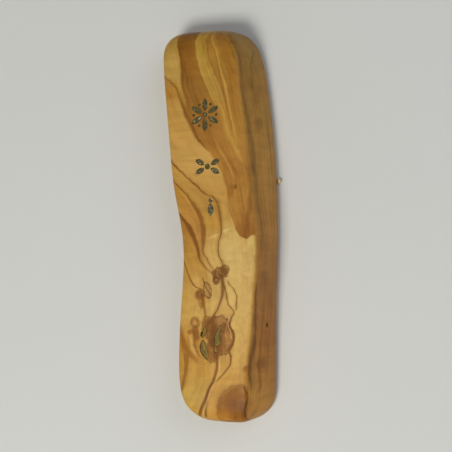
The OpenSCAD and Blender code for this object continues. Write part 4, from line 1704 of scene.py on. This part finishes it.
@dataclass
class InnerRooms:
    """The sizes that the case, the tray and the scroll share, as the frame gives them."""

    middle_x: float = -1.0
    bottom: float = -100.0
    groove_mouth: float = 19.0
    groove_slope: float = 0.5
    slide_gap: float = 0.3
    scroll_play: float = 3.0    # how far the loose scroll can rise
    overrun: float = 5.0        # how far tools and blanks reach below the bottom
    tray_outer: float = field(init=False)
    tray_inner: float = field(init=False)
    tray_top: float = field(init=False)
    groove_top: float = field(init=False)
    foot_top: float = field(init=False)
    chamber_top: float = field(init=False)
    scroll_y: float = field(init=False)
    scroll_radius: float = field(init=False)
    tie_radius: float = field(init=False)
    channel_radius: float = field(init=False)

    def __post_init__(self) -> None:
        """Reads the shared sizes from the frame."""
        tray_low, tray_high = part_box("tray_back")
        foot_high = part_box("tray_foot")[1]
        roll_low, roll_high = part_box("scroll_parchment")
        tie_low, tie_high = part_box("scroll_ties")
        self.tray_outer = tray_high.y / MM
        self.tray_inner = tray_low.y / MM
        self.tray_top = tray_high.z / MM
        self.groove_top = self.tray_top + self.slide_gap
        self.foot_top = foot_high.z / MM
        self.chamber_top = roll_high.z / MM + self.scroll_play
        self.scroll_y = (roll_low.y + roll_high.y) / 2 / MM
        self.scroll_radius = (roll_high.x - roll_low.x) / 2 / MM
        self.tie_radius = (tie_high.x - tie_low.x) / 2 / MM
        self.channel_radius = self.tie_radius + self.slide_gap

    def dovetail(self, outer: float, inner: float, gap: float, low: float, high: float) -> Piece:
        """A dovetail slat between two depths, wider on its inner face.

        Args:
            outer: the depth of its outer face.
            inner: the depth of its inner face.
            gap: how much narrower it is on each side.
            low: its lower end.
            high: its upper end.

        Returns:
            The slat.
        """
        def half(depth: float) -> float:
            """Half its width at a depth."""
            return self.groove_mouth / 2 - self.groove_slope * depth - gap

        slat = box((self.middle_x - half(outer), inner, low),
                   (self.middle_x + half(outer), outer, high))
        open_mesh(slat, "FACE")
        pick_faces(slat, lambda middle, normal: normal.y < -0.9)
        bpy.ops.transform.resize(value=(half(inner) / half(outer), 1, 1),
                                 center_override=(self.middle_x * MM, inner * MM, 0))
        close_mesh()
        return slat

    def channel(self, radius: float, back: float, low: float, high: float) -> Piece:
        """A round-fronted room: a rod joined to a box that reaches back.

        Args:
            radius: the rod's radius.
            back: the depth that the box reaches back to.
            low: its lower end.
            high: its upper end.

        Returns:
            The room as a solid.
        """
        room = rod(radius, (self.middle_x, self.scroll_y, low),
                   (self.middle_x, self.scroll_y, high), 96)
        rear = box((self.middle_x - radius, self.scroll_y, low),
                   (self.middle_x + radius, back, high))
        combine(room, rear, "UNION")
        return room


@dataclass
class CarvedCase:
    """The case body: the block with its rooms, recesses and crack openings."""

    rooms: InnerRooms
    plate_x: float = -7.0
    plate_z: float = 75.0
    plate_width: float = 14.0
    plate_half_span: float = 10.0
    keyhole_z: float = 71.0
    slot_rise: float = 7.0
    pocket_width: float = 9.6
    pocket_depth: float = 7.0
    screw_offset: float = 13.0
    strip_width: float = 8.0
    strip_low: float = -82.0
    strip_high: float = 36.0
    strip_lefts: tuple[float, float] = (-21.5, 11.5)
    strip_rebate: float = 0.8
    bead_z: float = 23.0
    runner_height: float = 3.0
    wormhole_at: Point3 = (21.6, -12.8, -49.8)
    wormhole_out: Point3 = (0.97, -0.24, 0.0)
    wormhole_radius: float = 0.9
    magnet_seat: float = 2.6    # the seat's radius
    magnet_drop: float = 6.0    # how far the magnet lies below the groove's end

    def stadium(self, width: float, half_span: float, middle_z: float, outer: float,
                inner: float) -> Piece:
        """An upright slab with round ends, between two depths.

        Args:
            width: its width.
            half_span: from its middle to the centre of each round end.
            middle_z: the height of its middle.
            outer: its outer depth.
            inner: its inner depth.

        Returns:
            The slab.
        """
        slab = box((self.plate_x - width / 2, inner, middle_z - half_span),
                   (self.plate_x + width / 2, outer, middle_z + half_span))
        for sign in (-1, 1):
            end_z = middle_z + sign * half_span
            combine(slab, rod(width / 2, (self.plate_x, outer, end_z),
                              (self.plate_x, inner, end_z), 64), "UNION")
        return slab

    def _wormhole(self) -> Piece:
        """The borer's hole in the right side, flared at its mouth."""
        mouth, out = Vector(self.wormhole_at), Vector(self.wormhole_out)
        hole = rod(self.wormhole_radius, mouth - out * 6, mouth + out * 4, 28)
        open_mesh(hole, "FACE")
        pick_faces(hole, lambda middle, normal: normal.x > 0.9)
        bpy.ops.transform.resize(value=(1, 1.7, 1.5), center_override=(mouth + out * 4) * MM)
        close_mesh()
        return hole

    def build(self, block: Piece) -> Piece:
        """Cuts the case body out of a copy of the block."""
        rooms = self.rooms
        below = rooms.bottom - rooms.overrun
        case = copy_of(block)
        groove_floor = rooms.tray_inner - rooms.slide_gap
        tool = rooms.channel(rooms.channel_radius, 2, below, rooms.chamber_top)
        combine(tool, rooms.dovetail(1, groove_floor, 0, below, rooms.groove_top), "UNION")
        magnet_z = rooms.groove_top - self.magnet_drop
        combine(tool, rod(self.magnet_seat, (rooms.middle_x, groove_floor + 0.5, magnet_z),
                          (rooms.middle_x, groove_floor - 1.5, magnet_z)), "UNION")
        combine(case, tool, "DIFFERENCE")
        tool = self.stadium(self.plate_width + 0.2, self.plate_half_span, self.plate_z, 1, -1.6)
        combine(tool, self.stadium(self.pocket_width, self.slot_rise / 2,
                                   self.keyhole_z + self.slot_rise / 2, 0, -self.pocket_depth),
                "UNION")
        seats = [tool]
        for left in self.strip_lefts:
            seats.append(box((left, -self.strip_rebate, self.strip_low),
                             (left + self.strip_width, 1, self.strip_high)))
        runner = box((self.strip_lefts[1] + 4, -self.strip_rebate,
                      self.bead_z - self.runner_height / 2),
                     (40, 1, self.bead_z + self.runner_height / 2))
        combine(seats[2], runner, "UNION")
        combine(case, joined(seats), "DIFFERENCE")
        cuts = [shape.cutter() for shape in ORNAMENTS + KNOT_FILLS] + [self._wormhole()]
        combine(case, joined(cuts), "DIFFERENCE")
        smooth(case, 32)
        return dress(case, "case_body_carved", Finish.OLIVE_WOOD, "case", "case_body")


@dataclass
class BackTray:
    """The tray that closes the case: dovetailed slat, foot, dowels and catch magnet."""

    rooms: InnerRooms
    magnet_z: float = 46.0
    seat_radius: float = 2.55
    dowel_heights: tuple[float, float] = (-95.0, -89.0)
    dowel_radius: float = 1.2
    dowel_end: float = -9.0
    foot_flats: int = 48     # flats sawn for the foot's round front
    scoop_radius: float = 2.6
    scoop_z: float = -100.0

    def _dowels(self, extra: float, past: float) -> Piece:
        """Both dowels as one solid.

        Args:
            extra: how much thicker than the real dowels they are.
            past: how far they stick out of the back.

        Returns:
            The dowels.
        """
        first = rod(self.dowel_radius + extra,
                    (self.rooms.middle_x, self.rooms.tray_outer + past, self.dowel_heights[0]),
                    (self.rooms.middle_x, self.dowel_end, self.dowel_heights[0]), 32)
        bevel_sharp(first, 0.18)
        second = copy_of(first)
        second.location = (0, 0, (self.dowel_heights[1] - self.dowel_heights[0]) * MM)
        fix_place(second)
        return joined([first, second])

    def build(self, block: Piece) -> None:
        """Makes the tray's wooden pieces and its magnet."""
        rooms = self.rooms
        below = rooms.bottom - rooms.overrun
        slat = rooms.dovetail(rooms.tray_outer, rooms.tray_inner, rooms.slide_gap, below,
                              rooms.tray_top)
        back = cropped(block, (-20, -6, below), (20, 1, 60))
        combine(back, slat, "INTERSECT")
        seat = rod(self.seat_radius, (rooms.middle_x, rooms.tray_inner - 1, self.magnet_z),
                   (rooms.middle_x, rooms.tray_inner + 1.5, self.magnet_z))
        combine(back, joined([seat, self._dowels(0.04, 1)]), "DIFFERENCE")
        bevel_sharp(back, 0.22, 2, 55)
        smooth(back, 30)
        dress(back, "tray_back_slat", Finish.TRAY_WOOD, "tray", "tray_back")

        foot = copy_of(block)
        open_mesh(foot)
        saw((0, 0, rooms.foot_top), (0, 0, 1))
        saw((0, rooms.tray_inner, 0), (0, 1, 0))
        for i in range(self.foot_flats + 1):
            turn = math.pi * i / self.foot_flats
            out = Vector((math.cos(turn), -math.sin(turn), 0))
            saw(Vector((rooms.middle_x, rooms.scroll_y, 0)) + out * rooms.tie_radius, out)
        close_mesh()
        scoop = rod(self.scoop_radius, (-20, rooms.scroll_y, self.scoop_z),
                    (20, rooms.scroll_y, self.scoop_z))
        combine(foot, joined([scoop, self._dowels(0.04, 6)]), "DIFFERENCE")
        bevel_sharp(foot, 0.22, 2, 55)
        smooth(foot, 30)
        dress(foot, "tray_foot_block", Finish.OLIVE_WOOD, "tray", "tray_foot")

        pins = self._dowels(0, 0)
        smooth(pins)
        dress(pins, "foot_dowel_pins", Finish.DOWEL_WOOD, "tray", "foot_dowels")
        magnet_disc("tray_magnet", "tray")


def magnet_disc(node: str, body: str) -> Piece:
    """A plated disc magnet with a shallow step round its faces, in its node's place.

    Args:
        node: the node that it stands for.
        body: the body that it rides on.

    Returns:
        The magnet.
    """
    border, step, depth = 0.9, 0.25, 0.12
    low, high = (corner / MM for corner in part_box(node))
    middle_x, middle_z = (low.x + high.x) / 2, (low.z + high.z) / 2
    disc = rod((high.x - low.x) / 2, (middle_x, low.y, middle_z), (middle_x, high.y, middle_z), 64)
    open_mesh(disc, "FACE")
    pick_faces(disc, lambda middle, normal: abs(normal.y) > 0.9)
    bpy.ops.mesh.inset(thickness=border * MM, depth=0, use_individual=True)
    bpy.ops.mesh.inset(thickness=step * MM, depth=-depth * MM, use_individual=True)
    close_mesh()
    bevel_sharp(disc, 0.16, 3, 60)
    smooth(disc)
    return dress(disc, node + "_disc", Finish.MAGNET_PLATING, body, node)


@dataclass
class ScrollRoll:
    """The rolled parchment in its clear film, with two cotton ties."""

    rooms: InnerRooms
    core_radius: float = 1.7
    turns: float = 4.6
    steps: int = 36          # steps in one turn of the roll
    sheet: float = 0.36      # thickness of the parchment
    film: float = 0.16
    tie_height: float = 3.0

    def _wound(self, start: float, end: float, turns: float, low: float, high: float) -> Piece:
        """A thin sheet wound round the scroll's axis.

        Args:
            start: the radius that it starts at.
            end: the radius that it ends at.
            turns: how many turns it makes.
            low: its lower edge.
            high: its upper edge.

        Returns:
            The sheet, without thickness.
        """
        axis = Vector((self.rooms.middle_x, self.rooms.scroll_y, 0)) * MM
        deselect_all()
        bpy.ops.mesh.primitive_plane_add(size=(high - low) * MM, rotation=(math.radians(90), 0, 0))
        piece = bpy.context.object
        piece.location = axis + Vector((start, 0, (low + high) / 2)) * MM
        fix_place(piece)
        open_mesh(piece)
        for top in (False, True):
            pick_points(piece, lambda co: (co.z > (low + high) / 2 * MM) == top)
            bpy.ops.mesh.merge(type="CENTER")
        pick_all()
        count = max(int(turns * self.steps), 1)
        turn = turns * math.tau / count
        out = (end - start) / count
        for i in range(count):
            bpy.ops.mesh.extrude_edges_move()
            bpy.ops.transform.rotate(value=-turn, orient_axis="Z", center_override=axis)
            angle = (i + 1) * turn
            bpy.ops.transform.translate(
                value=Vector((math.cos(angle), math.sin(angle), 0)) * out * MM)
        close_mesh()
        return piece

    def _thicken(self, piece: Piece, thickness: float) -> None:
        """Gives a wound sheet its thickness and breaks its edges."""
        modify(piece, "SOLIDIFY", thickness=thickness * MM, offset=0, use_even_offset=True)
        face_outwards(piece)
        bevel_sharp(piece, thickness * 0.2, 1, 60)
        smooth(piece, 50)

    def build(self) -> None:
        """Makes the scroll's three pieces."""
        radius = self.rooms.scroll_radius
        low, high = (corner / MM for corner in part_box("scroll_parchment"))
        roll = self._wound(self.core_radius, radius - self.sheet / 2, self.turns, low.z, high.z)
        self._thicken(roll, self.sheet)
        dress(roll, "parchment_roll", Finish.PARCHMENT, "scroll", "scroll_parchment")
        low, high = (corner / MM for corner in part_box("scroll_sleeve"))
        sleeve = self._wound(radius + self.film * 0.7, radius + self.film * 1.9, 1.12,
                             low.z, high.z)
        self._thicken(sleeve, self.film * 0.8)
        dress(sleeve, "film_sleeve", Finish.CLEAR_FILM, "scroll", "scroll_sleeve")
        low, high = (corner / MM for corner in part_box("scroll_ties"))
        ties = []
        for bottom in (low.z, high.z - self.tie_height):
            tape = self._wound(radius + 0.38, radius + 0.5, 1.25, bottom, bottom + self.tie_height)
            self._thicken(tape, 0.18)
            ties.append(tape)
        dress(joined(ties), "cotton_ties", Finish.COTTON_TAPE, "scroll", "scroll_ties")


@dataclass
class WallFixing:
    """What holds the case on the wall: foam strips, keyhole plate, screws, catch magnet."""

    case: CarvedCase
    screw_radius: float = 2.6
    shank_radius: float = 1.2
    countersink: float = 1.45   # depth of the screws' conical seats
    thread_steps: int = 26
    thread_pitch: float = 0.25
    thread_waist: float = 0.78  # the thread's root, as a share of its crest
    tip_length: float = 0.7
    cross_reach: float = 1.5    # the cross recess in the screw's head
    cross_half: float = 0.28
    cross_depth: float = 1.1
    entry_radius: float = 4.0   # where the nail's head goes in
    slot_half: float = 2.25     # and half the slot above it
    rim_width: float = 0.9      # the plate's raised rim
    rim_height: float = 0.22
    bead_radius: float = 1.2
    grain: float = 0.3       # size of the soft strips' own unevenness

    def _strip(self, node: str, bead: bool) -> None:
        """A soft adhesive strip, with or without the bead squeezed out at the edge.

        Args:
            node: the node that it stands for.
            bead: whether it has the bead.
        """
        low, high = (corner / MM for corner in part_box(node))
        strip = box((low.x, -self.case.strip_rebate, low.z),
                    (low.x + self.case.strip_width, high.y, high.z))
        if bead:
            at = Vector((high.x - self.bead_radius, -0.9, self.case.bead_z))
            half = self.case.runner_height / 2
            combine(strip, box((low.x + 4, -0.8, at.z - half),
                               (at.x, high.y, at.z + half)), "UNION")
            deselect_all()
            bpy.ops.mesh.primitive_uv_sphere_add(segments=24, ring_count=16,
                                                 radius=self.bead_radius * MM, location=at * MM)
            blob = bpy.context.object
            blob.scale = (1, 0.92, 1.12)
            fix_place(blob)
            combine(strip, blob, "UNION")
        modify(strip, "REMESH", mode="VOXEL", voxel_size=self.grain * MM)
        modify(strip, "SMOOTH", factor=0.5, iterations=3)
        open_mesh(strip)
        pick_points(strip, lambda co: co.y < high.y * MM - 0.2 * MM)
        bpy.ops.transform.vertex_random(offset=0.05 * MM, seed=5)
        close_mesh()
        modify(strip, "SMOOTH", factor=0.5, iterations=2)
        smooth(strip, 60)
        dress(strip, node.replace("mounting", "foam"), Finish.ADHESIVE, "case", node)

    def _screw_tool(self, at: float) -> Piece:
        """The countersunk room for one screw in the plate, with its shank's hole.

        Args:
            at: the screw's height.

        Returns:
            The room as a solid.
        """
        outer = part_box("hanger_plate")[1].y / MM
        head = rod(self.screw_radius + 0.12, (self.case.plate_x, outer + 0.02, at),
                   (self.case.plate_x, outer - self.countersink, at), 48)
        open_mesh(head, "FACE")
        pick_faces(head, lambda middle, normal: normal.y < -0.9)
        share = (self.shank_radius + 0.15) / self.screw_radius
        bpy.ops.transform.resize(value=(share, 1, share), center_override=Vector(
            (self.case.plate_x, outer - self.countersink, at)) * MM)
        close_mesh()
        combine(head, rod(self.shank_radius + 0.1, (self.case.plate_x, outer + 1, at),
                          (self.case.plate_x, outer - 4, at), 32), "UNION")
        return head

    def _plate(self) -> None:
        """The keyhole plate: a stamped brass stadium with a raised rim."""
        case = self.case
        low, high = (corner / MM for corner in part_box("hanger_plate"))
        plate = case.stadium(case.plate_width, case.plate_half_span, case.plate_z, high.y, low.y)
        combine(plate, case.stadium(case.plate_width - 2 * self.rim_width, case.plate_half_span,
                                    case.plate_z, high.y + 1, high.y - self.rim_height),
                "DIFFERENCE")
        hole = rod(self.entry_radius, (case.plate_x, 1, case.keyhole_z),
                   (case.plate_x, -4, case.keyhole_z), 64)
        slot_top = case.keyhole_z + case.slot_rise
        combine(hole, box((case.plate_x - self.slot_half, -3.5, case.keyhole_z),
                          (case.plate_x + self.slot_half, 0.8, slot_top)), "UNION")
        combine(hole, rod(self.slot_half, (case.plate_x, 0.9, slot_top),
                          (case.plate_x, -3.7, slot_top), 48), "UNION")
        tools = [hole]
        for sign in (-1, 1):
            tools.append(self._screw_tool(case.plate_z + sign * case.screw_offset))
        combine(plate, joined(tools), "DIFFERENCE")
        bevel_sharp(plate, 0.16, 2, 55)
        smooth(plate, 30)
        dress(plate, "keyhole_plate", Finish.BRASS_PLATE, "case", "hanger_plate")

    def _screws(self) -> None:
        """Two countersunk screws with a cross recess and a rolled thread."""
        case = self.case
        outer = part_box("hanger_plate")[1].y / MM - 0.2
        at = case.plate_z - case.screw_offset
        middle = Vector((case.plate_x, 0, at)) * MM
        deselect_all()
        bpy.ops.mesh.primitive_circle_add(
            vertices=32, radius=self.screw_radius * MM, fill_type="NGON",
            location=(middle.x, outer * MM, middle.z), rotation=(math.radians(-90), 0, 0))
        screw = bpy.context.object
        fix_place(screw)
        open_mesh(screw, "FACE")
        pick_all()
        steps = [(0.25, 1.0), (1.15, 0.98 * self.shank_radius / self.screw_radius), (0.3, 1.0)]
        steps += [(self.thread_pitch, self.thread_waist if i % 2 else 1 / self.thread_waist)
                  for i in range(self.thread_steps)]
        steps.append((self.tip_length, 0.25))
        for drop, size in steps:
            bpy.ops.mesh.extrude_region_move(
                TRANSFORM_OT_translate={"value": (0, -drop * MM, 0)})
            bpy.ops.transform.resize(value=(size, 1, size), center_override=middle)
        close_mesh()
        face_outwards(screw)
        long, half, deep = self.cross_reach, self.cross_half, outer - self.cross_depth
        cross = box((case.plate_x - long, deep, at - half),
                    (case.plate_x + long, outer + 1, at + half))
        combine(cross, box((case.plate_x - half, deep, at - long),
                           (case.plate_x + half, outer + 1, at + long)), "UNION")
        combine(screw, cross, "DIFFERENCE")
        bevel_sharp(screw, 0.06, 1, 70)
        smooth(screw, 35)
        other = copy_of(screw)
        other.location = (0, 0, 2 * case.screw_offset * MM)
        fix_place(other)
        dress(joined([screw, other]), "plate_screws", Finish.SCREW_STEEL, "case", "hanger_screws")

    def build(self) -> None:
        """Makes the strips, the plate, its screws and the case's magnet."""
        self._strip("left_mounting_strip", False)
        self._strip("right_mounting_strip", True)
        self._plate()
        self._screws()
        magnet_disc("case_magnet", "case")


def main() -> None:
    """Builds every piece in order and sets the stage."""
    logging.basicConfig(level=logging.INFO, format="%(relativeCreated)d %(name)s: %(message)s")
    rooms = InnerRooms()
    block = CarvedBlock().build()
    case = CarvedCase(rooms)
    case.build(block)
    for shape in ORNAMENTS + KNOT_FILLS:
        shape.build(block)
    BackTray(rooms).build(block)
    bpy.data.objects.remove(block)
    ScrollRoll(rooms).build()
    WallFixing(case).build()
    Studio().build()
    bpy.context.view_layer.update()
    LOG.info("done")


if __name__ == "__main__":
    main()
